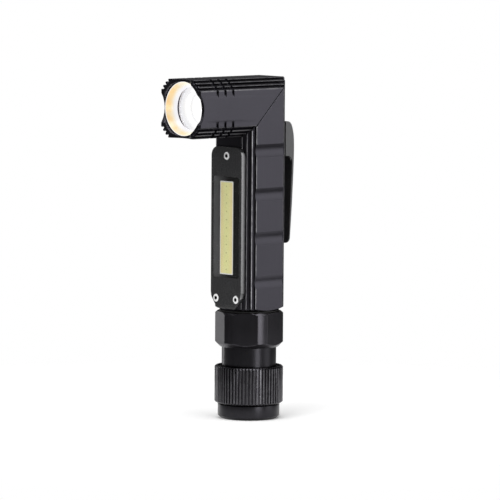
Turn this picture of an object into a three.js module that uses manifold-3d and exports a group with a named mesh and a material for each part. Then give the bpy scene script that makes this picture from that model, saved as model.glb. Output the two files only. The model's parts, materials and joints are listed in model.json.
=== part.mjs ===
// Right-angle pocket torch with a twisting head, a side work light, a sprung belt clip,
// a sliding charging-port ring and a magnetic tail.
// Units are millimetres, +Z is up, and the origin is the centre of the flat tail face.
// The head points along -Y, the work light faces -Y and the belt clip is on the +Y side.

import * as THREE from 'three';
import { mergeVertices } from 'three/addons/utils/BufferGeometryUtils.js';
import Module from 'manifold-3d';

const wasm = await Module();
wasm.setup();

// ---------------------------------------------------------------- driving dimensions

const FLAT = 12.8;            // axis to each of the four flats of the extruded section
const TIP_R = 15.1;           // radius of the rib tips at the section's corners
const GROOVE_R = 13.9;        // radius of the bottom of the grooves between the ribs
const GROOVES = 3;            // grooves at each corner
const GAP = 0.3;              // working gap between the head and the body
const HEAD_AXIS_Z = 137.8;    // height of the head's axis above the tail face
const HEAD_FRONT = 41.3;      // body axis to the tips of the head's crown
const WEB = 3.0;              // thickness of the wall on each side of the twist joint
const DETENT_R = 9.9;         // twist axis to the detent ball

const BODY_BOTTOM = 48.2;
const SPIGOT_R = 11.6;
const SPIGOT_BOTTOM = 39.4;
const CELL_BORE_R = 9.8;
const CELL_BORE_TOP = 113.3;
const CHAMBER_R = 8.6;        // electronics chamber above the cell

const CELL_R = 9.2;
const CELL_BOTTOM = 45.5;
const CELL_LENGTH = 65.0;

const PANEL_SEAT = 11.3;      // milled seat of the work light, forward of the body axis
const PANEL_FACE = 14.3;
const PANEL_HALF = 9.7;
const PANEL_BOTTOM = 49.2;
const PANEL_TOP = 120.3;
const PANEL_FOOT_HALF = 5.7;  // half the width of its narrow lower end
const PANEL_CORNER = 4.0;
const PANEL_SCREWS = { top: [0, 116.3], left: [-6.35, 53.5], right: [6.35, 53.5] };

const GRIP_HEIGHT = 5.7;      // finger grooves across the side flats
const GRIP_DEPTH = 0.65;
const GRIP_CENTRES = [61.2, 80.4, 99.6, 118.8];

const SWITCH_Y = 1.0;         // the side switch's axis crosses the body's left flat here
const SWITCH_Z = 127.8;
const BUTTON_R = 4.1;
const BUTTON_BORE_R = 4.45;

const CLIP_HALF = 8.0;
const CLIP_SHEET = 1.0;
const CLIP_PIN = [15.4, 123.3];
const PIN_R = 0.9;
const PIN_HOLE_R = 1.05;
const PIN_COVER = 0.25;       // metal left over the pin's ends in the lever's cheeks
const BRACKET_HALF = 6.7;
const BRACKET_FACE = 13.7;    // the bracket lies between this and the body's flat
const CLIP_SCREWS = { upper: 126.7, lower: 117.5 };

const TAIL_TURN = 40;         // degrees, where the screwed tail unit happens to stop
const HEX_FLAT = 14.0;
const HEX_ROUND_R = 15.0;
const HEX_TOP = 47.4;
const HEX_BOTTOM = 31.8;
const NECK_R = 12.0;
const NECK_BOTTOM = 6.6;
const RING_BOTTOM = 6.6;
const RING_TOP = 23.3;
const RING_BORE_R = 12.35;
const KNURLS = 63;
const TAIL_CAP_R = 13.7;
const TAIL_CAP_TOP = 6.3;
const TAIL_FACE_R = 12.2;
const PORT_Z = 28.2;

// ---------------------------------------------------------------- materials

const finish = (color, roughness, metalness) =>
  new THREE.MeshStandardMaterial({ color, roughness, metalness });
const anodised = finish(0x2a292d, 0.42, 0.7);
const blackSteel = finish(0x4a4a4c, 0.35, 0.8);
const blackPlastic = finish(0x1b1b1c, 0.38, 0);
const rubber = finish(0x111111, 0.85, 0);
const steel = finish(0xc4c6c8, 0.25, 1);
const brass = finish(0xc9a45c, 0.3, 1);
const aluminium = finish(0xb9bbbe, 0.35, 1);
const chromed = finish(0xf2f0ea, 0.05, 1);
const clear = finish(0xeef4f6, 0.05, 0);
const boardGreen = finish(0x1f5a38, 0.5, 0);
const boardWhite = finish(0xe8e8e2, 0.5, 0);
const phosphor = finish(0xd9d596, 0.55, 0);
const cellWrap = finish(0x3b6ea8, 0.4, 0);

// ---------------------------------------------------------------- solids

// A closed three.js geometry as a manifold-3d solid.
function solid(geometry) {
  const bare = geometry.index ? geometry.toNonIndexed() : geometry.clone();
  for (const name of Object.keys(bare.attributes)) {
    if (name !== 'position') bare.deleteAttribute(name);
  }
  const merged = mergeVertices(bare, 1e-4);
  const corners = [];
  for (let i = 0; i < merged.index.count; i += 3) {
    const [a, b, c] = [0, 1, 2].map((k) => merged.index.getX(i + k));
    if (a !== b && b !== c && c !== a) corners.push(a, b, c);
  }
  return new wasm.Manifold(new wasm.Mesh({
    numProp: 3,
    vertProperties: merged.attributes.position.array,
    triVerts: new Uint32Array(corners),
  }));
}

function piece(name, shape, material) {
  const found = shape.getMesh();
  const places = new Float32Array(found.numVert * 3);
  for (let i = 0; i < found.numVert; i++) {
    const start = i * found.numProp;
    places.set(found.vertProperties.subarray(start, start + 3), i * 3);
  }
  const geometry = new THREE.BufferGeometry();
  geometry.setAttribute('position', new THREE.BufferAttribute(places, 3));
  geometry.setIndex(new THREE.BufferAttribute(found.triVerts, 1));
  geometry.computeVertexNormals();
  const mesh = new THREE.Mesh(geometry, material);
  mesh.name = name;
  return mesh;
}

// Turned about +Z from a closed profile of [radius, z] points.
function turned(profile, segments = 24) {
  const loop = [...profile, profile[0]];
  let area = 0;
  for (let i = 0; i < profile.length; i++) {
    area += loop[i][0] * loop[i + 1][1] - loop[i + 1][0] * loop[i][1];
  }
  if (area < 0) loop.reverse();
  const points = loop.map(([r, z]) => new THREE.Vector2(r, z));
  return solid(new THREE.LatheGeometry(points, segments).rotateX(Math.PI / 2));
}

const rod = (radius, low, high, segments = 24) =>
  turned([[0, low], [radius, low], [radius, high], [0, high]], segments);

const tube = (inner, outer, low, high, segments = 24) =>
  turned([[inner, low], [outer, low], [outer, high], [inner, high]], segments);

function block(x0, x1, y0, y1, z0, z1) {
  const box = new THREE.BoxGeometry(x1 - x0, y1 - y0, z1 - z0);
  return solid(box.translate((x0 + x1) / 2, (y0 + y1) / 2, (z0 + z1) / 2));
}

// A shape drawn in X and Y, raised from low to high along Z.
function raised(points, low, high) {
  const shape = new THREE.Shape(points.map(([x, y]) => new THREE.Vector2(x, y)));
  const settings = { depth: high - low, bevelEnabled: false };
  return solid(new THREE.ExtrudeGeometry(shape, settings).translate(0, 0, low));
}

// A side profile drawn in Y and Z, drawn out along X.
function sideways(points, x0, x1) {
  return raised(points, x0, x1).transform([0, 1, 0, 0, 0, 0, 1, 0, 1, 0, 0, 0, 0, 0, 0, 1]);
}

// A round wire along a helix about +Z, closed at both ends.
class Helix extends THREE.Curve {
  constructor(lowRadius, highRadius, low, high, turns) {
    super();
    Object.assign(this, { lowRadius, highRadius, low, high, turns });
  }

  getPoint(t, target = new THREE.Vector3()) {
    const angle = 2 * Math.PI * this.turns * t;
    const radius = this.lowRadius + (this.highRadius - this.lowRadius) * t;
    const height = this.low + (this.high - this.low) * t;
    return target.set(radius * Math.cos(angle), radius * Math.sin(angle), height);
  }
}

function coil(lowRadius, highRadius, low, high, turns, wireRadius) {
  const section = [];
  for (let i = 0; i < 6; i++) {
    const angle = (i * Math.PI) / 3;
    section.push(new THREE.Vector2(wireRadius * Math.cos(angle), wireRadius * Math.sin(angle)));
  }
  const extrudePath = new Helix(lowRadius, highRadius, low, high, turns);
  const settings = { steps: Math.round(turns * 10), bevelEnabled: false, extrudePath };
  return solid(new THREE.ExtrudeGeometry(new THREE.Shape(section), settings));
}

const polar = (radius, degrees) => {
  const angle = THREE.MathUtils.degToRad(degrees);
  return [radius * Math.cos(angle), radius * Math.sin(angle)];
};

// ---------------------------------------------------------------- the extruded section

// Four flats, with three grooves between fine ribs at each rounded corner.
function ribbedOutline() {
  const flatEdge = THREE.MathUtils.radToDeg(Math.acos(FLAT / TIP_R));
  const pitch = (90 - 2 * flatEdge) / GROOVES;
  const mouth = 0.34 * pitch;
  const floor = 0.17 * pitch;
  const points = [];
  for (let side = 0; side < 4; side++) {
    const corner = side * 90 + flatEdge;
    points.push(polar(TIP_R, corner));
    for (let groove = 0; groove < GROOVES; groove++) {
      const centre = corner + (groove + 0.5) * pitch;
      points.push(polar(TIP_R, centre - mouth), polar(GROOVE_R, centre - floor));
      points.push(polar(GROOVE_R, centre + floor), polar(TIP_R, centre + mouth));
    }
    points.push(polar(TIP_R, corner + GROOVES * pitch));
  }
  return points;
}

// Everything on the far side of a plane that lies across the twist axis, in the frame of the
// body (lean = 1) or of the head (lean = -1), at a distance from the middle of the joint.
function beyondTwistPlane(distance, lean) {
  const half = 60;
  return block(-half, half, -half, half, distance, 2 * half).rotate([lean * 45, 0, 0]);
}

// ---------------------------------------------------------------- body

// Outline of the work light's frame, which narrows to a foot at its lower end.
function panelOutline(grow) {
  const half = PANEL_HALF + grow;
  const top = PANEL_TOP + grow;
  const right = [[PANEL_FOOT_HALF, PANEL_BOTTOM - grow]];
  right.push([half - 0.4, PANEL_BOTTOM + 4.9], [half, PANEL_BOTTOM + 7]);
  for (let i = 0; i <= 5; i++) {
    const [x, y] = polar(PANEL_CORNER, i * 18);
    right.push([half - PANEL_CORNER + x, top - PANEL_CORNER + y]);
  }
  const left = right.map(([x, y]) => [-x, y]).reverse();
  return [...right, ...left];
}

// A tool shape made in the frame whose +Z is the body's forward direction, turned into place.
const forward = (shape) => shape.rotate([90, 0, 0]);

function gripGroove(side, centre) {
  const chord = GRIP_HEIGHT / 2;
  const radius = (chord * chord + GRIP_DEPTH * GRIP_DEPTH) / (2 * GRIP_DEPTH);
  const cutter = rod(radius, -FLAT, FLAT, 96).rotate([90, 0, 0]);
  return cutter.translate([side * (FLAT - GRIP_DEPTH + radius), 0, centre]);
}

function bodyShell() {
  const top = HEAD_AXIS_Z + FLAT + 2;
  const chamferTop = BODY_BOTTOM + 1.2;
  let shell = raised(ribbedOutline(), BODY_BOTTOM, top);
  shell = shell.intersect(turned([[0, BODY_BOTTOM], [12.6, BODY_BOTTOM],
    [TIP_R + 0.2, chamferTop], [TIP_R + 0.2, top], [0, top]], 48));
  shell = shell.add(rod(SPIGOT_R, SPIGOT_BOTTOM, BODY_BOTTOM + 1));
  shell = shell.subtract(beyondTwistPlane(-GAP / 2, 1).translate([0, 0, HEAD_AXIS_Z]));

  const chamber = rod(CHAMBER_R, CELL_BORE_TOP - 1, top)
    .subtract(beyondTwistPlane(-GAP / 2 - WEB, 1).translate([0, 0, HEAD_AXIS_Z]));
  shell = shell.subtract(rod(CELL_BORE_R, SPIGOT_BOTTOM - 1, CELL_BORE_TOP)).subtract(chamber);
  shell = shell.subtract(tube(SPIGOT_R - 0.8, SPIGOT_R + 1, 45.0, 46.4));

  const twistTools = rod(4.6, -8, 2, 24)
    .add(tube(6.9, 8.3, -GAP / 2 - 1.0, 2))
    .add(rod(1.4, -5.0, 2, 12).translate([DETENT_R, 0, 0]));
  shell = shell.subtract(twistTools.rotate([45, 0, 0]).translate([0, 0, HEAD_AXIS_Z]));

  shell = shell.subtract(forward(raised(panelOutline(0.25), PANEL_SEAT, TIP_R + 2)));
  for (const [x, z] of Object.values(PANEL_SCREWS)) {
    shell = shell.subtract(forward(rod(1.3, 8.9, 13, 12)).translate([x, 0, z]));
  }
  shell = shell.subtract(forward(rod(0.8, 7, 13, 10)).translate([0, 0, 111.5]));

  for (const centre of GRIP_CENTRES) {
    shell = shell.subtract(gripGroove(1, centre)).subtract(gripGroove(-1, centre));
  }

  const switchTools = rod(BUTTON_BORE_R, 7, 14, 28).add(rod(5.7, 11.8, 14, 28));
  shell = shell.subtract(switchTools.rotate([0, -90, 0]).translate([0, SWITCH_Y, SWITCH_Z]));
  for (const z of Object.values(CLIP_SCREWS)) {
    shell = shell.subtract(rod(1.0, 9.9, 14, 12).rotate([-90, 0, 0]).translate([0, 0, z]));
  }
  return piece('body_shell', shell, anodised);
}

function oRing(name, middle, low, wire, segments = 24) {
  const profile = [];
  for (let i = 0; i < 5; i++) {
    const [r, z] = polar(wire, i * 72 + 18);
    profile.push([middle + r, low + wire + z]);
  }
  return piece(name, turned(profile, segments), rubber);
}

function cell() {
  const top = CELL_BOTTOM + CELL_LENGTH;
  const profile = [[0, CELL_BOTTOM], [CELL_R - 0.4, CELL_BOTTOM], [CELL_R, CELL_BOTTOM + 0.4],
    [CELL_R, top - 0.4], [CELL_R - 0.4, top], [3.0, top], [3.0, top + 0.9], [0, top + 0.9]];
  return piece('battery_cell', turned(profile), cellWrap);
}

function upperContacts() {
  const insulator = tube(3.3, 9.5, 111.9, 113.0, 24);
  const button = rod(2.4, 111.7, 113.8, 16).add(rod(1.2, 113.7, 115.9, 12));
  const board = rod(8.2, 116.3, 117.5, 24)
    .add(block(-4.5, 1.5, -3, 3, 117.4, 119.5))
    .add(block(3, 5.4, -2, 2, 117.4, 118.7));
  return [
    piece('contact_insulator', insulator, blackPlastic),
    piece('positive_contact', button, brass),
    piece('driver_board', board, boardGreen),
  ];
}

// ---------------------------------------------------------------- work light on the front

const WELL_HALF = 8.4;
const WELL_LOW = 62.9;
const WELL_HIGH = 107.2;
const WELL_FLOOR = 14.0;          // the window lies on it, flush with the face
const BOARD_HALF = 6.4;
const BOARD_LOW = 60.3;
const BOARD_HIGH = 112.3;
const BOARD_FACE = 12.45;
const COB_HALF = 4.0;
const COB_LOW = 64.4;
const COB_HIGH = 105.0;
const COB_FACE = 13.95;
const SCREW_HEAD_R = 1.7;
const SCREW_HEAD = 0.85;          // height of a screw's head, which lies flush with the face
const CLEARANCE = 0.1;            // between the work light's parts

function panelScrew(name, x, y) {
  const under = PANEL_FACE - SCREW_HEAD;
  const screw = turned([[0, 9.2], [1.1, 9.2], [1.1, under], [SCREW_HEAD_R, under],
    [SCREW_HEAD_R, PANEL_FACE - 0.2], [SCREW_HEAD_R - 0.2, PANEL_FACE], [0, PANEL_FACE]], 14);
  return piece(name, screw.translate([x, y, 0]), steel);
}

function workLight() {
  const group = new THREE.Group();
  group.rotation.x = Math.PI / 2;

  const face = raised(panelOutline(0), PANEL_SEAT + 0.1, PANEL_FACE);
  const well = block(-WELL_HALF, WELL_HALF, WELL_LOW, WELL_HIGH, WELL_FLOOR, 15);
  const mouth = block(-COB_HALF - 0.5, COB_HALF + 0.5, COB_LOW - 0.5, COB_HIGH + 0.5, 12, 15);
  const pocket = block(-BOARD_HALF - 0.2, BOARD_HALF + 0.2, BOARD_LOW - 0.2, BOARD_HIGH + 0.2, 11,
    BOARD_FACE + 0.15);
  let housing = face.subtract(well).subtract(mouth).subtract(pocket);
  const seatFloor = PANEL_FACE - SCREW_HEAD - 0.05;
  for (const [x, y] of Object.values(PANEL_SCREWS)) {
    housing = housing.subtract(rod(1.35, 11, 15, 12).translate([x, y, 0]))
      .subtract(rod(SCREW_HEAD_R + CLEARANCE, seatFloor, 15, 20).translate([x, y, 0]));
  }
  const board = block(-BOARD_HALF, BOARD_HALF, BOARD_LOW, BOARD_HIGH, BOARD_FACE - 1, BOARD_FACE);
  const strip = block(-COB_HALF, COB_HALF, COB_LOW, COB_HIGH, BOARD_FACE + CLEARANCE, COB_FACE);
  const paneHalf = WELL_HALF - CLEARANCE;
  const pane = block(-paneHalf, paneHalf, WELL_LOW + CLEARANCE, WELL_HIGH - CLEARANCE,
    WELL_FLOOR + 0.03, PANEL_FACE);
  group.add(piece('work_light_housing', housing, blackPlastic));
  group.add(piece('work_light_board', board, boardWhite));
  group.add(piece('work_light_cob', strip, phosphor));
  group.add(piece('work_light_window', pane, clear));
  for (const [place, [x, y]] of Object.entries(PANEL_SCREWS)) {
    group.add(panelScrew('panel_screw_' + place, x, y));
  }
  return group;
}

// ---------------------------------------------------------------- side switch

function sideSwitch() {
  const group = new THREE.Group();
  group.rotation.y = -Math.PI / 2;
  group.position.set(0, SWITCH_Y, SWITCH_Z);
  const cap = turned([[0, 9.5], [1.6, 9.5], [1.6, 10.6], [BUTTON_R, 10.6], [BUTTON_R, 13.2],
    [BUTTON_R - 0.4, 13.6], [0, 13.7]], 28);
  const board = block(-4.2, 2.4, -2.8, 2.8, 6.6, 7.6).add(block(-1.9, 1.9, -1.9, 1.9, 7.5, 8.9));
  group.add(piece('switch_button', cap, rubber));
  group.add(piece('switch_ring', tube(4.4, 5.5, 11.95, 13.0, 28), aluminium));
  group.add(piece('switch_board', board, boardGreen));
  return group;
}

// ---------------------------------------------------------------- sprung belt clip

// Outer face of the lever from its thumb end down to its tip, as [y, z].
const CLIP_BACK = [[13.9, 130.8], [15.6, 130.7], [16.9, 129.9], [17.8, 128.2], [18.4, 126.1],
  [18.8, 123.5], [18.95, 119.3], [18.9, 115.3], [18.6, 107.3], [17.9, 94.3], [17.2, 84.3],
  [16.65, 76.8]];
// Free edge of the lever's cheeks from the tip up to the bracket, as [y, z].
const CHEEK_EDGE = [[16.05, 76.8], [16.6, 84.3], [17.0, 94.3], [17.7, 107.3], [17.85, 113.3],
  [17.0, 114.9], [16.2, 115.5], [13.9, 115.5]];
const CLIP_TIP = CLIP_BACK.at(-1)[1];
const TIP_CORNER = 2.5;

// A round bar across the clip, along X and through its hinge.
function acrossHinge(radius, half) {
  return rod(radius, -half, half, 16).rotate([0, 90, 0]).translate([0, ...CLIP_PIN]);
}

// What is left outside a rounded corner at the lever's tip, on the +X side.
function tipCornerCut() {
  const corner = [[0, -1], [TIP_CORNER + 1, -1], [TIP_CORNER + 1, TIP_CORNER]];
  for (let i = 0; i <= 5; i++) {
    const [x, z] = polar(TIP_CORNER, -i * 18);
    corner.push([x, TIP_CORNER + z]);
  }
  return raised(corner, -30, 30).rotate([90, 0, 0]);
}

function clipLever() {
  const hollow = CLIP_BACK.map(([y, z], i) => [y - CLIP_SHEET, i < 3 ? z - CLIP_SHEET : z]);
  hollow.push([10, CLIP_TIP - 1], [10, CLIP_BACK[0][1] - CLIP_SHEET]);
  hollow[CLIP_BACK.length - 1] = [15.6, CLIP_TIP - 1];
  const inner = CLIP_HALF - CLIP_SHEET;
  let lever = sideways([...CLIP_BACK, ...CHEEK_EDGE], -CLIP_HALF, CLIP_HALF)
    .subtract(sideways(hollow, -inner, inner))
    .subtract(acrossHinge(PIN_HOLE_R, CLIP_HALF - PIN_COVER));
  const cut = tipCornerCut().translate([CLIP_HALF - TIP_CORNER, 0, CLIP_TIP]);
  lever = lever.subtract(cut).subtract(cut.mirror([1, 0, 0]));
  const dimple = sideways([[13.3, 82.7], [13.3, 84.7], [16.9, 87.5], [16.5, 79.9]], -3.2, 3.2);
  return piece('clip_lever', lever.add(dimple), blackSteel);
}

function clipBracket() {
  const [pinY, pinZ] = CLIP_PIN;
  let bracket = block(-BRACKET_HALF, BRACKET_HALF, BRACKET_FACE - 0.6, BRACKET_FACE, 115.1, 129.2);
  const ear = [[13.3, 118.8], [13.3, 127.8]];
  for (let i = 0; i <= 6; i++) {
    const [y, z] = polar(1.9, 60 - i * 20);
    ear.push([pinY + y, pinZ + z]);
  }
  bracket = bracket.add(sideways(ear, BRACKET_HALF - 1, BRACKET_HALF))
    .add(sideways(ear, -BRACKET_HALF, 1 - BRACKET_HALF))
    .subtract(acrossHinge(PIN_HOLE_R, 12));
  for (const z of Object.values(CLIP_SCREWS)) {
    bracket = bracket.subtract(rod(1.1, 12, 15, 12).rotate([-90, 0, 0]).translate([0, 0, z]));
  }
  return piece('clip_bracket', bracket, blackSteel);
}

function clipScrew(name, z) {
  const under = BRACKET_FACE + 0.1;
  const screw = turned([[0, 10.2], [0.85, 10.2], [0.85, under], [SCREW_HEAD_R, under],
    [SCREW_HEAD_R, 14.4], [1.2, 14.7], [0, 14.7]], 16);
  return piece(name, screw.rotate([-90, 0, 0]).translate([0, 0, z]), steel);
}

function clip() {
  const spring = coil(1.35, 1.35, -2.6, 2.6, 4, 0.24);
  return [
    clipLever(),
    clipBracket(),
    piece('clip_pin', acrossHinge(PIN_R, CLIP_HALF - PIN_COVER - 0.1), steel),
    piece('clip_spring', spring.rotate([0, 90, 0]).translate([0, ...CLIP_PIN]), steel),
    clipScrew('clip_screw_upper', CLIP_SCREWS.upper),
    clipScrew('clip_screw_lower', CLIP_SCREWS.lower),
  ];
}

// ---------------------------------------------------------------- twist joint

function twistJoint() {
  const group = new THREE.Group();
  group.rotation.x = Math.PI / 4;
  group.position.z = HEAD_AXIS_Z;
  const face = GAP / 2;
  const tubeProfile = [[3.0, -6.3], [4.2, -6.3], [4.2, face + WEB + 0.1], [6.4, face + WEB + 0.1],
    [6.4, face + WEB + 1.3], [3.0, face + WEB + 1.3]];
  group.add(piece('pivot_tube', turned(tubeProfile, 24), aluminium));
  group.add(piece('pivot_nut', tube(4.5, 6.0, -5.7, -4.05, 20), steel));
  group.add(piece('wave_washer', tube(4.7, 6.0, -3.8, -face - WEB - 0.1, 20), steel));
  group.add(oRing('twist_o_ring', 7.6, -face - 0.9, 0.5));
  const ball = solid(new THREE.SphereGeometry(1.2, 12, 6)).translate([DETENT_R, 0, -1.2]);
  group.add(piece('detent_ball', ball, steel));
  const detentSpring = coil(0.85, 0.85, -4.7, -2.75, 3, 0.16).translate([DETENT_R, 0, 0]);
  group.add(piece('detent_spring', detentSpring, steel));
  return group;
}

// ---------------------------------------------------------------- head

const SLOTS = [22.2, 26.8, 31.4];   // turned slots across the ribs, forward of the body axis
const SLOT_WIDTH = 1.4;
const SLOT_R = 13.8;
const PILL_SEAT = 17.0;
const CROWN_DEPTH = 2.0;
const CROWN_HALF = 6.4;         // half the width of the arc cut across each flat at the mouth

function headShell() {
  let shell = raised(ribbedOutline(), -FLAT - 2, HEAD_FRONT);
  shell = shell.subtract(beyondTwistPlane(-GAP / 2, -1).mirror([0, 1, 0]).mirror([0, 0, 1]));

  const chamber = rod(9.4, -FLAT, PILL_SEAT + 1)
    .subtract(beyondTwistPlane(-GAP / 2 - WEB, -1).mirror([0, 1, 0]).mirror([0, 0, 1]));
  shell = shell.subtract(chamber)
    .subtract(rod(11.85, PILL_SEAT, 36, 32))
    .subtract(turned([[0, 32.6], [12.15, 32.6], [12.15, 41.0], [12.5, 42], [0, 42]], 40));

  const notch = rod(1.3, -2, GAP / 2 + 0.5, 12);
  const twistTools = rod(4.5, -2, 8, 24)
    .add(notch.translate([DETENT_R, 0, 0]))
    .add(notch.translate([-DETENT_R, 0, 0]));
  shell = shell.subtract(twistTools.rotate([-45, 0, 0]));

  const sagRadius = (CROWN_HALF ** 2 + CROWN_DEPTH ** 2) / (2 * CROWN_DEPTH);
  const scallop = rod(sagRadius, -20, 20, 64);
  const lift = HEAD_FRONT - CROWN_DEPTH + sagRadius;
  shell = shell.subtract(scallop.rotate([0, 90, 0]).translate([0, 0, lift]))
    .subtract(scallop.rotate([90, 0, 0]).translate([0, 0, lift]));
  for (const s of SLOTS) {
    shell = shell.subtract(tube(SLOT_R, 17, s - SLOT_WIDTH / 2, s + SLOT_WIDTH / 2, 48));
  }
  return piece('head_shell', shell, anodised);
}

function reflectorCup() {
  const base = 23.6;
  const mouth = 31.2;
  const smallRadius = 3.0;
  const mouthRadius = 9.4;
  const inside = [];
  const rings = 4;
  for (let i = 0; i <= rings; i++) {
    const radius = smallRadius + ((mouthRadius - smallRadius) * i) / rings;
    const share = (radius ** 2 - smallRadius ** 2) / (mouthRadius ** 2 - smallRadius ** 2);
    inside.push([radius, base + (mouth - base) * share]);
  }
  const outside = inside.map(([r, z]) => [r + 0.9, z - 0.4]).reverse();
  return turned([...inside, [11.6, mouth], [11.6, mouth - 0.9], ...outside.slice(1)], 24);
}

function head() {
  const group = new THREE.Group();
  group.rotation.x = Math.PI / 2;
  group.position.z = HEAD_AXIS_Z;
  group.add(headShell());
  group.add(piece('led_pill', tube(2.0, 11.5, PILL_SEAT + 0.1, 20.2, 24), aluminium));
  group.add(piece('led_board', rod(8.0, 20.4, 22.0, 24), boardWhite));
  const dome = solid(new THREE.SphereGeometry(2.1, 12, 8)).translate([0, 0, 23.0]);
  const emitter = block(-2.5, 2.5, -2.5, 2.5, 22.1, 23.0)
    .add(dome.intersect(block(-3, 3, -3, 3, 22.8, 26)));
  group.add(piece('led_emitter', emitter, phosphor));
  group.add(piece('reflector', reflectorCup(), chromed));
  group.add(oRing('lens_seal', 10.6, 31.5, 0.45, 24));
  group.add(piece('lens', rod(11.5, 32.7, 34.5, 24), clear));
  const cup = turned([[9.3, 34.8], [11.9, 34.8], [11.9, 39.8], [11.6, 39.8], [9.3, 35.2]], 32);
  group.add(piece('bezel_cup', cup, chromed));
  return group;
}

// ---------------------------------------------------------------- tail unit

function hexCollar() {
  const hexagon = [];
  for (let i = 0; i < 6; i++) hexagon.push(polar(HEX_FLAT / Math.cos(Math.PI / 6), i * 60));
  let collar = raised(hexagon, HEX_BOTTOM, HEX_TOP)
    .intersect(turned([[0, HEX_BOTTOM], [12.9, HEX_BOTTOM], [HEX_ROUND_R, HEX_BOTTOM + 2.1],
      [HEX_ROUND_R, HEX_TOP - 0.8], [14.1, HEX_TOP], [0, HEX_TOP]], 60));
  collar = collar.add(rod(NECK_R, NECK_BOTTOM, HEX_BOTTOM + 1, 32));
  collar = collar.subtract(rod(SPIGOT_R + 0.3, 38.9, HEX_TOP + 1, 32))
    .subtract(rod(9.9, 35.7, 39.5))
    .subtract(rod(9.0, 27.8, 36.3))
    .subtract(rod(10.2, NECK_BOTTOM - 1, 28.3))
    .subtract(tube(NECK_R - 0.7, NECK_R + 1, 15.3, 16.5, 32));
  const mouth = block(-4.1, 4.1, 8, 13, PORT_Z - 1.6, PORT_Z + 1.6);
  return piece('hex_collar', collar.subtract(mouth), anodised);
}

function chargingBoard() {
  const board = rod(9.8, 24.9, 26.1, 24).add(block(-3, 3, -6, -2, 26.0, 27.7));
  return piece('charge_board', board, boardGreen);
}

function usbReceptacle() {
  const shell = block(-3.75, 3.75, 5.6, 11.4, 26.8, 29.4)
    .subtract(block(-3.4, 3.4, 6.6, 12, 27.15, 29.05))
    .add(block(-2.2, 2.2, 6.4, 10.9, 27.9, 28.4));
  return piece('usb_receptacle', shell, steel);
}

function tailCap() {
  const profile = [[9.1, 0], [TAIL_FACE_R, 0], [TAIL_CAP_R, 1.3], [TAIL_CAP_R, TAIL_CAP_TOP - 0.3],
    [TAIL_CAP_R - 0.3, TAIL_CAP_TOP], [9.9, TAIL_CAP_TOP], [9.9, 12.9], [8.4, 12.9], [8.4, 5.2],
    [4, 5.2], [4, 3.4], [9.1, 3.4]];
  return piece('tail_cap', turned(profile, 32), anodised);
}

function portRing() {
  const outline = [];
  for (let i = 0; i < 2 * KNURLS; i++) {
    outline.push(polar(i % 2 ? 14.5 : TIP_R, (i * 180) / KNURLS));
  }
  const limits = [[0, RING_BOTTOM], [13.9, RING_BOTTOM], [TIP_R + 0.1, RING_BOTTOM + 0.9],
    [TIP_R + 0.1, RING_TOP - 0.6], [14.5, RING_TOP], [0, RING_TOP]];
  const ring = raised(outline, RING_BOTTOM, RING_TOP).intersect(turned(limits, 60))
    .subtract(rod(RING_BORE_R, RING_BOTTOM - 1, RING_TOP + 1, 32))
    .subtract(rod(13.8, RING_TOP - 1.9, RING_TOP + 1, 32));
  return piece('port_ring', ring, anodised);
}

function tail() {
  const group = new THREE.Group();
  group.rotation.z = THREE.MathUtils.degToRad(TAIL_TURN);
  const carrier = rod(9.7, 35.9, 37.5, 24).subtract(rod(1.2, 35, 38, 8));
  group.add(hexCollar());
  group.add(piece('contact_carrier', carrier, blackPlastic));
  group.add(piece('battery_spring', coil(6.0, 3.4, 38.2, 44.8, 3, 0.45), steel));
  group.add(chargingBoard());
  group.add(usbReceptacle());
  group.add(oRing('neck_o_ring', 11.8, 15.4, 0.45, 24));
  group.add(tailCap());
  group.add(piece('tail_magnet', rod(8.7, 0, 3.2, 24), chromed));
  group.add(portRing());
  group.add(piece('port_ring_seal', tube(12.2, 13.6, RING_TOP - 1.8, RING_TOP - 0.6, 32), rubber));
  const washer = tube(SPIGOT_R + 0.35, 13.2, HEX_TOP + 0.1, BODY_BOTTOM - 0.1, 24);
  group.add(piece('collar_washer', washer, rubber));
  return group;
}

// ---------------------------------------------------------------- the torch

const torch = new THREE.Group();
torch.add(bodyShell(), cell(), ...upperContacts());
torch.add(oRing('body_o_ring', 11.35, 45.2, 0.48, 24));
torch.add(workLight(), sideSwitch(), ...clip(), twistJoint(), head(), tail());

export default torch;
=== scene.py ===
# %% [markdown]
# # A right-angle pocket torch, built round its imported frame
# The frame holds every part of the torch as a plain faceted solid in its true place. This script
# keeps those places and sizes, and gives each visible part a fine surface and a real finish. It
# runs from top to bottom, like a notebook: each cell makes one part or one finish.

# %% Load the frame
import json
import math

import bmesh
import bpy
from mathutils import Matrix, Vector


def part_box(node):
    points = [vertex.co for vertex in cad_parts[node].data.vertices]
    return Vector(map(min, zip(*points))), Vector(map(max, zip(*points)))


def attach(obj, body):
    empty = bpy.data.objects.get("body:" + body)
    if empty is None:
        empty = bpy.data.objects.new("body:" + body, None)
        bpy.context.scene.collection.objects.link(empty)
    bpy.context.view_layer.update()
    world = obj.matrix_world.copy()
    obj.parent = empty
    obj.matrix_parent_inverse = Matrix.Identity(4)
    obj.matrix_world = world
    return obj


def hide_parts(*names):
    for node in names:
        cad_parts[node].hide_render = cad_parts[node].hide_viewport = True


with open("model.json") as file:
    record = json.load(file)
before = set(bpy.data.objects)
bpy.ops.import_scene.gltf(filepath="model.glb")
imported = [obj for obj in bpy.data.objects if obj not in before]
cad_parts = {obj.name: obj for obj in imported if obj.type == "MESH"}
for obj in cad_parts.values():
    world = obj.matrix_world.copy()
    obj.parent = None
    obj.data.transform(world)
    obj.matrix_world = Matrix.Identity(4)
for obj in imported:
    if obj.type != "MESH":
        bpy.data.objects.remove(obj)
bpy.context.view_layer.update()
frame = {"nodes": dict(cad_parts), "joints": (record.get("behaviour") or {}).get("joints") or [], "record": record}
MM = 0.001


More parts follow.
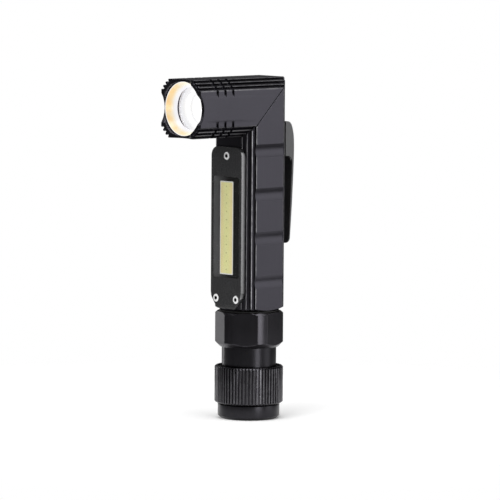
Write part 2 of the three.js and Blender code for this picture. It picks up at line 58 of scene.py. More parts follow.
def mm(item):
    """Sizes in mm as metres: one number, or points and lists of them."""
    return [mm(part) for part in item] if isinstance(item, (list, tuple)) else item * MM


def listed(title, *made):
    print(f"{title}:", [item.name for item in made])


# %% [markdown]
# ## Sizes
# The main sizes are read from the frame, so that they follow it: the heights and ends of the parts, and the middle
# of the twist joint, where the head's axis crosses the body's. The section of the extrusion, and the few sizes
# that a box can't tell, such as the depth of a groove, are named here.

# %% Sizes read from the frame
JOINTS = {joint["name"]: joint for joint in frame["joints"]}


def low(node, axis):
    """Lowest coordinate of a node's box along X, Y or Z, given as 0, 1 or 2."""
    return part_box(node)[0][axis]


def high(node, axis):
    """Highest coordinate of a node's box along X, Y or Z, given as 0, 1 or 2."""
    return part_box(node)[1][axis]


def middle(node):
    """Middle of a node's box."""
    return sum(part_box(node), Vector()) / 2


HEAD_Z = JOINTS["head_twist"]["pos_m"][2]
JOINT_CENTRE = Vector((0, 0, HEAD_Z))
TIP_R = 15.1 * MM
FLAT = 12.8 * MM
GROOVE_R = 13.9 * MM
GROOVES = 3
MITRE_GAP = 0.3 * MM
EASE = 0.14 * MM
BODY_BOTTOM = high("collar_washer", 2) + 0.1 * MM
HEAD_FRONT = -low("head_shell", 1)
CROWN_DEPTH = 2.0 * MM
CROWN_HALF = 6.4 * MM
SLOT_R = 13.8 * MM
SLOTS = mm([22.2, 26.8, 31.4])
SLOT_WIDTH = 1.4 * MM
GRIP_CENTRES = mm([61.2, 80.4, 99.6, 118.8])
GRIP_HALF = 2.85 * MM
GRIP_DEPTH = 0.65 * MM
MOUTH_R = 12.15 * MM
print("head axis at", round(HEAD_Z / MM, 2), "mm; crown at", round(HEAD_FRONT / MM, 2), "mm")

# %% [markdown]
# ## Shader maths
# A finish is a small sum of patterns. Wrapping a node's output in a class whose operators add Math
# nodes lets that sum be written as an ordinary expression, such as `0.3 + 0.1 * grain`.


# %% A node tree, a socket with operators, and a material being painted
class Graph:
    """A node tree under way."""

    def feed(self, socket, value):
        """Links a socket to an output, or gives it a plain value."""
        if isinstance(value, bpy.types.NodeSocket):
            self.tree.links.new(value, socket)
        else:
            socket.default_value = (*value, 1.0) if socket.type == "RGBA" else value

    def add(self, kind, values, settings, named):
        """Adds a node: its settings first, then its sockets by order and by name."""
        made = self.tree.nodes.new(kind)
        for key, value in settings.items():
            setattr(made, key, value)
        for socket, value in zip(made.inputs, values):
            self.feed(socket, value)
        for key, value in named.items():
            self.feed(made.inputs[key.replace("_", " ")], value)
        return made


class Socket:
    """One output of a shader node. Arithmetic on it adds Math nodes to its material."""

    def __init__(self, paint, output):
        self.paint = paint
        self.output = output

    def of(self, name):
        """Another output of the same node."""
        return Socket(self.paint, self.output.node.outputs[name])

    def sum(self, operation, *values):
        return self.paint.node("ShaderNodeMath", {"operation": operation}, *values)

    def __add__(self, other):
        return self.sum("ADD", self, other)

    def __sub__(self, other):
        return self.sum("SUBTRACT", self, other)

    def __rsub__(self, other):
        return self.sum("SUBTRACT", other, self)

    def __mul__(self, other):
        return self.sum("MULTIPLY", self, other)

    __radd__ = __add__
    __rmul__ = __mul__

    def root(self):
        return self.sum("SQRT", self)

    def ramp(self, start, end, shape="LINEAR"):
        """0 up to start, 1 from end on, and a straight line between them."""
        settings = {"interpolation_type": shape}
        return self.paint.node("ShaderNodeMapRange", settings, self, start, end, 0.0, 1.0)

    def step(self, start, end):
        """A ramp with smooth ends."""
        return self.ramp(start, end, "SMOOTHSTEP")


class Paint(Graph):
    """A material under way: one Principled shader, and the patterns that feed it."""

    def __init__(self, name, colour=(0.5, 0.5, 0.5), **constants):
        self.material = bpy.data.materials.new(name)
        self.material.use_nodes = True
        self.tree = self.material.node_tree
        self.shader = self.tree.nodes["Principled BSDF"]
        self.use(Base_Color=colour, **constants)
        self.place = self.node("ShaderNodeTexCoord", {}, output="Object")

    def feed(self, socket, value):
        """Takes the output of a Socket, or a plain value."""
        super().feed(socket, value.output if isinstance(value, Socket) else value)

    def node(self, kind, settings, *values, output=0, **named):
        return Socket(self, self.add(kind, values, settings, named).outputs[output])

    def axes(self):
        """X, Y and Z of the place, in metres."""
        split = self.node("ShaderNodeSeparateXYZ", {}, self.place)
        return split, split.of("Y"), split.of("Z")

    def radius(self, axis):
        """Distance from the body's axis, "z", or from the head's, "y"."""
        x, y, z = self.axes()
        other = y if axis == "z" else z - HEAD_Z
        return (x * x + other * other).root()

    def grain(self, size, stretch=(1.0, 1.0, 1.0), detail=3.0):
        """Noise with grains of a size in mm, longer along an axis with a small stretch."""
        scale = Vector(stretch) / (size * MM)
        scaled = self.node("ShaderNodeMapping", {}, Vector=self.place, Scale=scale)
        return self.node("ShaderNodeTexNoise", {}, Vector=scaled, Scale=1.0, Detail=detail)

    def mix(self, share, first, second):
        """A colour between two colours, by a share of 0 to 1."""
        made = self.tree.nodes.new("ShaderNodeMix")
        made.data_type = "RGBA"
        self.feed(made.inputs["Factor"], share)
        for socket, colour in zip([s for s in made.inputs if s.type == "RGBA"], (first, second)):
            self.feed(socket, colour)
        return Socket(self, next(s for s in made.outputs if s.type == "RGBA"))

    def bump(self, height, strength, depth):
        """Relief of a depth in mm."""
        bumped = self.node("ShaderNodeBump", {}, Strength=strength, Distance=depth * MM,
                           Height=height)
        self.use(Normal=bumped)

    def use(self, **values):
        """Sets or feeds the Principled shader's own sockets."""
        for key, value in values.items():
            self.feed(self.shader.inputs[key.replace("_", " ")], value)
        return self.material


# %% [markdown]
# ## Black anodised aluminium
# The body, head, collar, ring and tail are black anodised aluminium. The dye leaves a faint violet grey where
# light falls flat on it, the blasted surface has a grain of about a tenth of a millimetre, and handling has rubbed
# the dye thin on the crests of the ribs; that pale crest colour is also a painted highlight along each crest. The
# crests are the points farthest from the extrusion's axis, so the distance from that axis says where they are. The
# neck and the tail cap take a darker copy of the tail's finish as painted shade.


# %% Anodised finishes
def anodised(name, axis, crest, worn, rough, dark, pale):
    """Black anodising on a part turned or extruded about an axis, rubbed pale beyond crest; the pale is partly
    wear and partly a painted highlight.
    """
    paint = Paint(name, Metallic=1.0, Specular_IOR_Level=0.5)
    radius = paint.radius(axis)
    drawn = paint.grain(0.5, (1.0, 1.0, 0.05) if axis == "z" else (1.0, 0.05, 1.0))
    cloud = paint.grain(14)
    blasted = paint.grain(0.12, detail=2.0)
    rub = paint.grain(2.5).step(0.35, 0.62)
    # Pale crests: rubbed wear, and partly a painted highlight along each crest.
    edge = radius.step(crest - 0.16 * MM, crest) * (0.45 + 0.55 * rub) * worn
    shade = (cloud - 0.5) * 0.5 + (drawn - 0.5) * 0.35 + 0.5
    dye = paint.mix(shade, dark, pale)
    colour = paint.mix(edge, dye, (0.17, 0.168, 0.176))
    paint.bump(blasted * 0.5 + drawn * 0.5, 0.22, 0.02)
    return paint.use(Base_Color=colour,
                     Roughness=rough + 0.12 * cloud + 0.08 * drawn - 0.06 * edge)


NO_CREST = 1.0
VIOLET = ((0.050, 0.048, 0.058), (0.076, 0.073, 0.086))
NEUTRAL = ((0.040, 0.039, 0.044), (0.062, 0.059, 0.067))
# A darker copy of the tail's dye: painted shade for the neck and the tail cap.
PAINTED_SHADE_DYE = ((0.024, 0.023, 0.026), (0.040, 0.039, 0.044))
BODY_BLACK = anodised("anodised_body", "z", TIP_R - 0.04 * MM, 0.9, 0.26, *VIOLET)
HEAD_BLACK = anodised("anodised_head", "y", TIP_R - 0.04 * MM, 0.9, 0.26, *VIOLET)
RING_BLACK = anodised("anodised_ring", "z", TIP_R - 0.02 * MM, 0.35, 0.18, *NEUTRAL)
TAIL_BLACK = anodised("anodised_tail", "z", NO_CREST, 0.0, 0.20, *NEUTRAL)
CAP_PAINTED_SHADE = anodised("anodised_cap", "z", NO_CREST, 0.0, 0.20, *PAINTED_SHADE_DYE)
listed("anodised finishes", BODY_BLACK, HEAD_BLACK, RING_BLACK, TAIL_BLACK, CAP_PAINTED_SHADE)

# %% [markdown]
# ## Plastics, rubber and board
# The work light's frame is glossy moulded plastic: almost mirror smooth, with fine hairline scratches and a faint
# waviness, and its side walls carry a painted highlight. Rubber is matt with a coarse grain and a little dust. The
# boards have a solder mask whose gloss varies with the copper under it.


# %% Plastics, rubber and boards
def gloss_black():
    paint = Paint("gloss_black_plastic", Coat_IOR=1.5, Coat_Roughness=0.08)
    scratch = paint.grain(0.25, (1.0, 1.0, 0.03)).step(0.62, 0.75)
    wave = paint.grain(6)
    colour = paint.mix(wave, (0.020, 0.020, 0.021), (0.028, 0.028, 0.029))
    paint.bump(wave + scratch * 0.06, 0.12, 0.05)
    return paint.use(Base_Color=colour, Coat_Weight=0.5,
                     Roughness=0.24 + 0.18 * scratch + 0.06 * wave)


def bright_edge():
    paint = Paint("bright_edge", Metallic=1.0)
    streak = paint.grain(0.3, (1.0, 1.0, 0.05))
    # Lighter towards the front edge: the painted highlight of a soft light on the rounded side wall.
    front = paint.axes()[1].step(-12.0 * MM, -13.9 * MM) * 0.8 + streak * 0.2
    colour = paint.mix(front, (0.045, 0.045, 0.047), (0.26, 0.26, 0.265))
    return paint.use(Base_Color=colour, Roughness=0.2 + 0.15 * streak)


def matt_rubber():
    paint = Paint("matt_rubber", Specular_IOR_Level=0.35)
    fine = paint.grain(0.15)
    dust = paint.grain(3).step(0.5, 0.8)
    colour = paint.mix(dust, (0.012, 0.012, 0.012), (0.030, 0.029, 0.028))
    paint.bump(fine, 0.4, 0.03)
    return paint.use(Base_Color=colour, Roughness=0.62 + 0.2 * fine)


def board(name, mask, copper):
    paint = Paint(name)
    traces = paint.node("ShaderNodeTexBrick", {"offset": 0.3}, Vector=paint.place,
                        Scale=220.0, Mortar_Size=0.03, output="Fac")
    patch = paint.grain(1.2).step(0.45, 0.55)
    colour = paint.mix(traces * 0.5 + patch * 0.3, mask, copper)
    paint.bump(traces, 0.2, 0.03)
    return paint.use(Base_Color=colour, Roughness=0.35 + 0.2 * patch)


GLOSS = gloss_black()
WALL_HIGHLIGHT = bright_edge()
RUBBER = matt_rubber()
GREEN_BOARD = board("green_board", (0.02, 0.13, 0.06), (0.06, 0.26, 0.10))
WHITE_BOARD = board("white_board", (0.95, 0.95, 0.91), (0.82, 0.82, 0.78))
listed("plastics, rubber and boards", GLOSS, WALL_HIGHLIGHT, RUBBER, GREEN_BOARD, WHITE_BOARD)

# %% [markdown]
# ## Steel, aluminium and brass
# Turned parts carry fine marks from the tool under the cloudy smear that handling leaves. The clip
# is pressed spring steel with a thin satin black coat that is a little uneven.


# %% Metals
def metal(name, dark, light, rough, metallic=1.0):
    paint = Paint(name, Metallic=metallic)
    marks = paint.grain(0.3)
    smear = paint.grain(3.6)
    paint.bump(marks, 0.15, 0.01)
    colour = paint.mix(marks * 0.6 + smear * 0.4, dark, light)
    return paint.use(Base_Color=colour, Roughness=rough + 0.16 * (marks - 0.4))


def coated_steel():
    paint = Paint("coated_steel", Metallic=0.85, Coat_Roughness=0.2)
    grain = paint.grain(0.1)
    patch = paint.grain(9)
    colour = paint.mix(patch, (0.090, 0.090, 0.093), (0.150, 0.150, 0.153))
    paint.bump(grain, 0.25, 0.02)
    return paint.use(Base_Color=colour, Coat_Weight=0.15,
                     Roughness=0.34 + 0.14 * patch + 0.08 * grain)


SCREW_STEEL = metal("screw_steel", (0.80, 0.80, 0.81), (0.98, 0.98, 0.98), 0.38, 0.25)
STEEL = metal("bright_steel", (0.66, 0.66, 0.67), (0.88, 0.88, 0.88), 0.20)
SOCKET_SHADE_STEEL = metal("shadowed_steel", (0.030, 0.030, 0.030), (0.060, 0.060, 0.060), 0.45)
ALUMINIUM = metal("turned_aluminium", (0.55, 0.56, 0.58), (0.76, 0.77, 0.78), 0.26)
BRASS = metal("contact_brass", (0.66, 0.46, 0.20), (0.86, 0.66, 0.32), 0.24)
COATED = coated_steel()
listed("metals", SCREW_STEEL, STEEL, SOCKET_SHADE_STEEL, ALUMINIUM, BRASS, COATED)

# %% [markdown]
# ## The lit parts
# The lamp is on. Its light comes from the diode in the middle of the reflector, but a mirror that is looked into
# shows a white glare rather than its own shape, so that glare is painted on the reflector as glow, brightest
# towards its middle, with a few painted grey streaks where the glass shows, a painted grey ring, and painted shade
# at its rim. The outer cone is bright metal whose lamp light is painted as a cream and amber glow, with a painted
# amber reflection towards its left side and a painted highlight on its lip. The work light is off: its phosphor is
# a pale yellow.


# %% Lamp glow, cone, glass and phosphor
def glare():
    # The reflector's glare is painted as its own glow.
    paint = Paint("reflector_glare", (0.12, 0.12, 0.12), Roughness=0.2, Metallic=1.0,
                  Emission_Strength=1.0)
    radius = paint.radius("y")
    up = paint.axes()[2] - HEAD_Z
    streak = paint.grain(2.6, (0.5, 0.5, 2.2), 1.5).step(0.52, 0.74)
    # Painted grey streaks and ring, and painted shade at the rim, dim the painted glare.
    ring = radius.step(7.0 * MM, 7.3 * MM) * (1.0 - radius.step(7.5 * MM, 7.9 * MM))
    rim = radius.step(8.2 * MM, 9.3 * MM)
    painted_dimming = streak * up.ramp(1 * MM, 6 * MM) * 0.45 + ring * 0.35 + rim * 0.40
    return paint.use(Emission_Color=paint.mix(painted_dimming, (1.05, 1.05, 1.05), (0.42, 0.42, 0.46)))


def warm_cone():
    # The lamp's light on the cone is painted as glow.
    paint = Paint("warm_cone", Metallic=1.0, Roughness=0.3, Emission_Strength=1.0)
    radius = paint.radius("y")
    outer = radius.step(9.6 * MM, 10.9 * MM)
    # A near-white lip: a painted highlight.
    lip = radius.step(11.50 * MM, 11.62 * MM)
    blotch = paint.grain(5, detail=2.0).step(0.34, 0.66)
    # Amber towards the left: a painted reflection of the lamp's light, also tinting the base colour.
    left = paint.axes()[0].ramp(4 * MM, -11.5 * MM)
    amber = left * outer * (0.45 + 0.4 * blotch)
    straw = paint.mix(blotch, (0.86, 0.83, 0.66), (0.86, 0.76, 0.42))
    warm = paint.mix(amber, straw, (0.90, 0.58, 0.28))
    glow = paint.mix(outer, (0.88, 0.87, 0.90), warm)
    glow = paint.mix(lip, glow, (0.95, 0.93, 0.92))
    return paint.use(Base_Color=paint.mix(amber, (0.10, 0.10, 0.10), (0.12, 0.09, 0.05)),
                     Emission_Color=glow)


def clear_glass():
    paint = Paint("clear_glass", (1.0, 1.0, 1.0), IOR=1.1, Transmission_Weight=1.0)
    return paint.use(Roughness=0.02 + 0.03 * paint.grain(5))


def thin_pane():
    """A thin clear sheet: light passes straight through, and a faint gloss is left."""
    paint = Paint("thin_pane", (0.02, 0.02, 0.02))
    smear = paint.grain(5)
    return paint.use(Roughness=0.12 + 0.1 * smear, Alpha=0.08 + 0.05 * smear)


def phosphor():
    """Yellow, and a little more orange towards the long edges of the strip."""
    paint = Paint("phosphor", Specular_IOR_Level=0.4)
    x = paint.axes()[0]
    cloud = paint.grain(2.6)
    fine = paint.grain(0.3)
    side = (x * x).root().step(0.8 * MM, 3.4 * MM)
    body = paint.mix(cloud, (0.90, 0.88, 0.38), (0.96, 0.94, 0.50))
    colour = paint.mix(side * (0.35 + 0.3 * cloud), body, (1.0, 0.80, 0.42))
    paint.bump(cloud + fine * 0.3, 0.2, 0.05)
    return paint.use(Base_Color=colour, Roughness=0.42 + 0.1 * fine)


def seal_painted_glow():
    # The seal's emission is painted glow, since the seal is no lamp.
    paint = Paint("pale_silicone", Emission_Strength=0.6)
    cloud = paint.grain(1.4)
    colour = paint.mix(cloud, (0.42, 0.42, 0.45), (0.62, 0.62, 0.66))
    return paint.use(Base_Color=colour, Roughness=0.4 + 0.2 * cloud, Emission_Color=colour)


def well_mask_painted_reflection():
    """The black mask under the window, grey on the left with a painted reflection of a soft light that fades to
    black across it.
    """
    paint = Paint("window_mask", Specular_IOR_Level=0.3)
    # Grey towards the left: a painted reflection of a soft light.
    fade = paint.axes()[0].step(-7.5 * MM, 2 * MM)
    return paint.use(Base_Color=paint.mix(fade, (0.095, 0.095, 0.098), (0.008, 0.008, 0.008)),
                     Roughness=0.5 + 0.2 * paint.grain(0.2))


def cell_wrap():
    paint = Paint("cell_wrap", Coat_Weight=0.3)
    crinkle = paint.grain(1.5, (1.0, 1.0, 0.2))
    paint.bump(crinkle, 0.2, 0.05)
    colour = paint.mix(crinkle, (0.03, 0.12, 0.34), (0.05, 0.18, 0.45))
    return paint.use(Base_Color=colour, Roughness=0.3 + 0.1 * crinkle)


SEAL_GLOW = seal_painted_glow()
MASK_AND_REFLECTION = well_mask_painted_reflection()
GLARE = glare()
CONE = warm_cone()
GLASS = clear_glass()
PANE = thin_pane()
PHOSPHOR = phosphor()
WRAP = cell_wrap()
listed("lamp finishes", SEAL_GLOW, MASK_AND_REFLECTION, GLARE, CONE, GLASS, PANE, PHOSPHOR, WRAP)

# %% [markdown]
# ## Finishes for the parts that keep their frame mesh
# The parts inside the torch keep the mesh of the frame, which is right for them already. Each
# takes its finish from the record's own list of material slots.

# %% Paint the frame's own parts
FINISH_OF_SLOT = {
    "anodised_black": TAIL_BLACK, "black_plastic": GLOSS, "clear_window": PANE,
    "phosphor": PHOSPHOR, "white_board": WHITE_BOARD, "circuit_board": GREEN_BOARD,
    "mirror_finish": STEEL, "bright_steel": STEEL, "black_steel": COATED,
    "bare_aluminium": ALUMINIUM, "brass_contact": BRASS, "black_rubber": RUBBER,
    "cell_wrap": WRAP,
}
for part in frame["record"]["subparts"]:
    mesh = frame["nodes"][part["node"]].data
    mesh.materials.clear()
    mesh.materials.append(FINISH_OF_SLOT[part["material_slot"]])
# The lens seal takes the painted glow.
frame["nodes"]["lens_seal"].data.materials[0] = SEAL_GLOW

# %% [markdown]
# ## Making meshes
# Most parts are turned or extruded, so two helpers make nearly all of them. `turned` spins a
# closed outline round Z, and `skin` joins rows of points into a closed tube. Real corners are
# never perfectly sharp, so `eased` rounds an outline's corners before it is used, and the small
# radius is what catches the light along every edge.


# %% Outline and mesh helpers
def eased(outline, radius, steps=3):
    """A closed outline with each corner rounded by a short curve."""
    smooth = []
    count = len(outline)
    for i, corner in enumerate(outline):
        corner = Vector(corner)
        before = Vector(outline[i - 1]) - corner
        after = Vector(outline[(i + 1) % count]) - corner
        reach = min(radius, before.length * 0.45, after.length * 0.45)
        start = corner + before.normalized() * reach
        end = corner + after.normalized() * reach
        for step in range(steps + 1):
            t = step / steps
            smooth.append((1 - t) ** 2 * start + 2 * t * (1 - t) * corner + t ** 2 * end)
    return smooth


def arc(centre, radius, start, end, steps):
    """Points on an arc, by angles in degrees."""
    angles = [math.radians(start + (end - start) * i / steps) for i in range(steps + 1)]
    return [Vector((centre[0] + radius * math.cos(a), centre[1] + radius * math.sin(a)))
            for a in angles]


def band(inner, outer, start, end):
    """Outline of a plain ring, or of a disc where inner is 0, to be turned."""
    return [(inner, start), (outer, start), (outer, end), (inner, end)]


def as_object(name, mesh, material, sharp=28):
    """A new object for a mesh, smooth except across edges sharper than an angle."""
    mesh.materials.clear()
    mesh.materials.append(material)
    made = bpy.data.objects.new(name, mesh)
    bpy.context.scene.collection.objects.link(made)
    return sharpen(made, sharp)


def recolour(made, material, chosen):
    """Gives a further material to the faces that a rule chooses."""
    made.data.materials.append(material)
    for polygon in made.data.polygons:
        if chosen(polygon):
            polygon.material_index = len(made.data.materials) - 1


def skin(rows, wrap_rows=False):
    """A mesh through rows of points, with flat ends unless the last row joins the first."""
    build = bmesh.new()
    grid = [[build.verts.new(point) for point in row] for row in rows]
    count = len(rows[0])
    pairs = list(zip(grid, grid[1:])) + ([(grid[-1], grid[0])] if wrap_rows else [])
    for lower, upper in pairs:
        for i in range(count):
            j = (i + 1) % count
            build.faces.new((lower[i], lower[j], upper[j], upper[i]))
    if not wrap_rows:
        build.faces.new(list(reversed(grid[0])))
        build.faces.new(grid[-1])
    bmesh.ops.remove_doubles(build, verts=build.verts, dist=1e-7)
    bmesh.ops.dissolve_degenerate(build, edges=build.edges, dist=1e-7)
    bmesh.ops.recalc_face_normals(build, faces=build.faces)
    mesh = bpy.data.meshes.new("skin")
    build.to_mesh(mesh)
    build.free()
    return mesh


def turned(outline, segments=128):
    """A closed outline of (radius, height) spun round Z."""
    rows = []
    for i in range(segments):
        angle = 2 * math.pi * i / segments
        rows.append([(r * math.cos(angle), r * math.sin(angle), h) for r, h in outline])
    return skin(rows, wrap_rows=True)


def rod(radius, start, end, segments=64):
    return turned(band(0.0, radius, start, end), segments)


def moved(mesh, place):
    """A mesh put in its place by a matrix."""
    mesh.transform(place)
    return mesh


def cut(target, *tools, operation="DIFFERENCE"):
    """Cuts tool meshes out of an object's mesh, or joins them to it, and throws them away."""
    for tool in tools:
        cutter = bpy.data.objects.new("tool", tool)
        bpy.context.scene.collection.objects.link(cutter)
        modifier = target.modifiers.new("cut", "BOOLEAN")
        modifier.operation = operation
        modifier.solver = "EXACT"
        modifier.object = cutter
        settle(target)
        bpy.data.objects.remove(cutter)
    return target


def settle(target):
    """Turns an object's modifiers into its plain mesh."""
    graph = bpy.context.evaluated_depsgraph_get()
    graph.update()
    mesh = bpy.data.meshes.new_from_object(target.evaluated_get(graph))
    target.modifiers.clear()
    target.data = mesh
    return target


def sharpen(target, angle=28):
    """Smooth shading on every face, except across edges sharper than an angle."""
    for polygon in target.data.polygons:
        polygon.use_smooth = True
    target.data.set_sharp_from_angle(angle=math.radians(angle))
    return target


def place_piece(made, body, slot, *nodes):
    """Hands a finished piece to its body and hides the frame nodes it stands for; its finish slot is not used."""
    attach(made, body)
    if nodes:
        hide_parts(*nodes)
    print(f"{made.name}: {len(made.data.polygons)} faces")
    return made


TO_FRONT = Matrix.Rotation(math.radians(90), 4, "X")


def prism(outline, start, end, inset=0.0, steps=3):
    """An outline in X and Y raised from start to end, with its end edges rounded by inset."""
    centre = sum((Vector(p) for p in outline), Vector((0, 0))) / len(outline)
    count = len(outline)
    normals = []
    for i, point in enumerate(outline):
        along = Vector(outline[(i + 1) % count]) - Vector(outline[i - 1])
        normal = Vector((along.y, -along.x)).normalized()
        outward = (Vector(point) - centre).dot(normal) >= 0
        normals.append(normal if outward else -normal)
    profile = [(0.0, start), (0.0, end)]
    if inset:
        low_arc = [(inset - inset * math.sin(a), start + inset - inset * math.cos(a))
                   for a in [math.pi / 2 * i / steps for i in range(steps + 1)]]
        high_arc = [(w, start + end - h) for w, h in reversed(low_arc)]
        profile = low_arc + high_arc
    rows = []
    for inward, height in profile:
        rows.append([(*(Vector(p) - n * inward), height) for p, n in zip(outline, normals)])
    return skin(rows)


# %% [markdown]
# ## The extruded section
# Head and body are cut from one extrusion: four flats, and at each corner four thin ribs with
# three grooves between them, all touching one circle. Every crest has its own narrow land with
# eased edges. The flats carry extra points where the turned slots end.


# %% One ribbed section
def polar(radius, angle):
    """A point of the plane by its distance and its angle in degrees."""
    return Vector((radius * math.cos(math.radians(angle)), radius * math.sin(math.radians(angle))))


def ribbed_section():
    """Points round the section in the plane across the extrusion, as (u, v)."""
    flat_edge = math.degrees(math.acos(FLAT / TIP_R))
    pitch = (90 - 2 * flat_edge) / GROOVES
    land = 0.115 * pitch
    lip = 0.045 * pitch
    floor = 0.24 * pitch
    ease = 0.10 * MM
    half = FLAT * math.tan(math.radians(flat_edge))
    slot_end = math.sqrt(SLOT_R ** 2 - FLAT ** 2)
    across = [0.0, 0.35 * CROWN_HALF, 0.7 * CROWN_HALF, slot_end, CROWN_HALF, 0.92 * half,
              half - ease]
    points = []
    for side in range(4):
        turn = Matrix.Rotation(math.radians(90 * side), 2)
        points += [turn @ Vector((FLAT, v)) for v in [-w for w in reversed(across[1:])] + across]
        first = 90 * side + flat_edge
        for rib in range(GROOVES + 1):
            crest = first + rib * pitch
            left = crest - land if rib else crest
            right = crest + land if rib < GROOVES else crest
            if rib:
                points += [polar(TIP_R - ease, left - lip * 0.3), polar(TIP_R, left + lip)]
            if rib < GROOVES:
                groove = crest + pitch / 2
                points += [polar(TIP_R, right - lip if rib else right + lip),
                           polar(TIP_R - ease, right + lip * 2.2),
                           polar(GROOVE_R, groove - floor), polar(GROOVE_R, groove + floor)]
    return points


SECTION = ribbed_section()
print("section:", len(SECTION), "points")

# %% [markdown]
# ## Body shell
# The body is the extrusion standing up. Its top is mitred at 45 degrees, its bottom edge is turned
# to a cone, and four shallow arcs are milled across each side flat as finger grips. Building it
# as rows of the section keeps every crest crisp: a row at the bottom follows the cone, rows
# through a grip are held back to the arc, and the last rows follow the mitre.


# %% Body shell
def arc_radius(half, depth):
    """Radius of an arc that is milled to a half width and a depth."""
    return (half ** 2 + depth ** 2) / (2 * depth)


def grip_limit(z):
    """How far out a side flat reaches at a height, with the grips milled in."""
    radius = arc_radius(GRIP_HALF, GRIP_DEPTH)
    for centre in GRIP_CENTRES:
        if abs(z - centre) < GRIP_HALF:
            return FLAT - GRIP_DEPTH + radius - math.sqrt(radius ** 2 - (z - centre) ** 2)
    return FLAT


def body_rows():
    inner_r = 11.0 * MM
    cone_start = 12.6 * MM
    cone_rise = 1.2 * MM / (TIP_R + 0.2 * MM - cone_start)
    flat_half = 9.2 * MM
    steps = 12

    def hold(point, limit):
        x = max(-limit, min(limit, point.x)) if abs(point.y) < flat_half else point.x
        return Vector((x, point.y))

    rows = [[(*(p.normalized() * radius), BODY_BOTTOM) for p in SECTION]
            for radius in (inner_r, cone_start - EASE)]
    foot = [BODY_BOTTOM + cone_rise * max(0.0, p.length - cone_start) for p in SECTION]
    rows.append([(*(p * (1 - EASE / p.length)), z) for p, z in zip(SECTION, foot)])
    rows.append([(*p, z + EASE) for p, z in zip(SECTION, foot)])
    heights = [BODY_BOTTOM + 2 * MM]
    for centre in GRIP_CENTRES:
        heights += [centre + GRIP_HALF * (2 * i / steps - 1) for i in range(steps + 1)]
    for z in heights:
        rows.append([(*hold(p, grip_limit(z)), z) for p in SECTION])
    top = [HEAD_Z + p.y - MITRE_GAP * math.sqrt(0.5) for p in SECTION]
    rows.append([(*p, z - EASE * 1.4) for p, z in zip(SECTION, top)])
    rows.append([(*(p * (1 - EASE / p.length)), z - EASE * p.y / p.length)
                 for p, z in zip(SECTION, top)])
    return rows


def panel_outline(grow):
    """Outline of the work light's frame in X and Z, made larger by a margin."""
    half = -low("work_light_housing", 0) + grow
    bottom = low("work_light_housing", 2) - grow
    top = high("work_light_housing", 2) + grow
    corner = 4.0 * MM
    right = [Vector((5.7 * MM, bottom)), Vector((half - 0.4 * MM, bottom + 4.9 * MM)),
             Vector((half, bottom + 7.0 * MM))]
    right += arc((half - corner, top - corner), corner, 0, 90, 8)
    left = [Vector((-p.x, p.y)) for p in reversed(right)]
    return right + left


def front_prism(outline, near, far, inset=0.0):
    """A prism along Y: its outline is drawn in X and Z, and it runs from -near to -far."""
    return moved(prism(outline, near, far, inset), TO_FRONT)


TO_TWIST = Matrix.Translation(JOINT_CENTRE) @ Matrix.Rotation(math.radians(45), 4, "X")
SWITCH = middle("switch_ring")
TO_SIDE = Matrix.Translation((0, SWITCH.y, SWITCH.z)) @ Matrix.Rotation(math.radians(-90), 4, "Y")
SEAT = 11.3 * MM


def body_shell():
    """The extrusion with its bores: cell, pivot, nut, seal groove, detent, panel and switch."""
    shell = as_object("body_extrusion", skin(body_rows()), BODY_BLACK)
    cell_r, cell_low, cell_top = mm([9.8, 40, 113.3])
    web, pivot_r, nut_r, nut_depth = mm([3.3, 4.6, 6.3, 5.7])
    groove_inner, groove_outer, groove_depth = mm([6.9, 8.3, 1.2])
    detent_r, detent_depth, past = mm([1.4, 4, 2])
    to_detent = Matrix.Translation((9.9 * MM, 0, 0)) @ TO_TWIST
    cut(shell, rod(cell_r, cell_low, cell_top, 96))
    cut(shell, moved(rod(pivot_r, -web - 4 * MM, past), TO_TWIST))
    cut(shell, moved(rod(nut_r, -web - nut_depth, -web), TO_TWIST))
    cut(shell, moved(turned(band(groove_inner, groove_outer, -groove_depth, past)), TO_TWIST))
    cut(shell, moved(rod(detent_r, -detent_depth, past, 32), to_detent))
    cut(shell, front_prism(eased(panel_outline(0.25 * MM), 0.4 * MM), SEAT, 20 * MM))
    switch_bore = mm([(0, 8), (4.45, 8), (4.45, 11.8), (5.7, 11.8), (5.7, 16), (0, 16)])
    return cut(shell, moved(turned(switch_bore, 64), TO_SIDE))


place_piece(sharpen(body_shell(), 15), "body", "anodised_black", "body_shell")

# %% [markdown]
# ## Spigot and its thread
# Under the body a spigot screws into the tail's collar. It shows only when the tail is unscrewed,
# and then its thread is what is seen, so the thread is a true helix: the radius at each point
# depends on the height less the share of a turn, times the pitch.


# %% Threaded spigot and its O-ring
PITCH = 1.5 * MM
SPIGOT_BOTTOM = low("body_shell", 2)
RING_GROOVE = (45.0 * MM, 46.4 * MM)


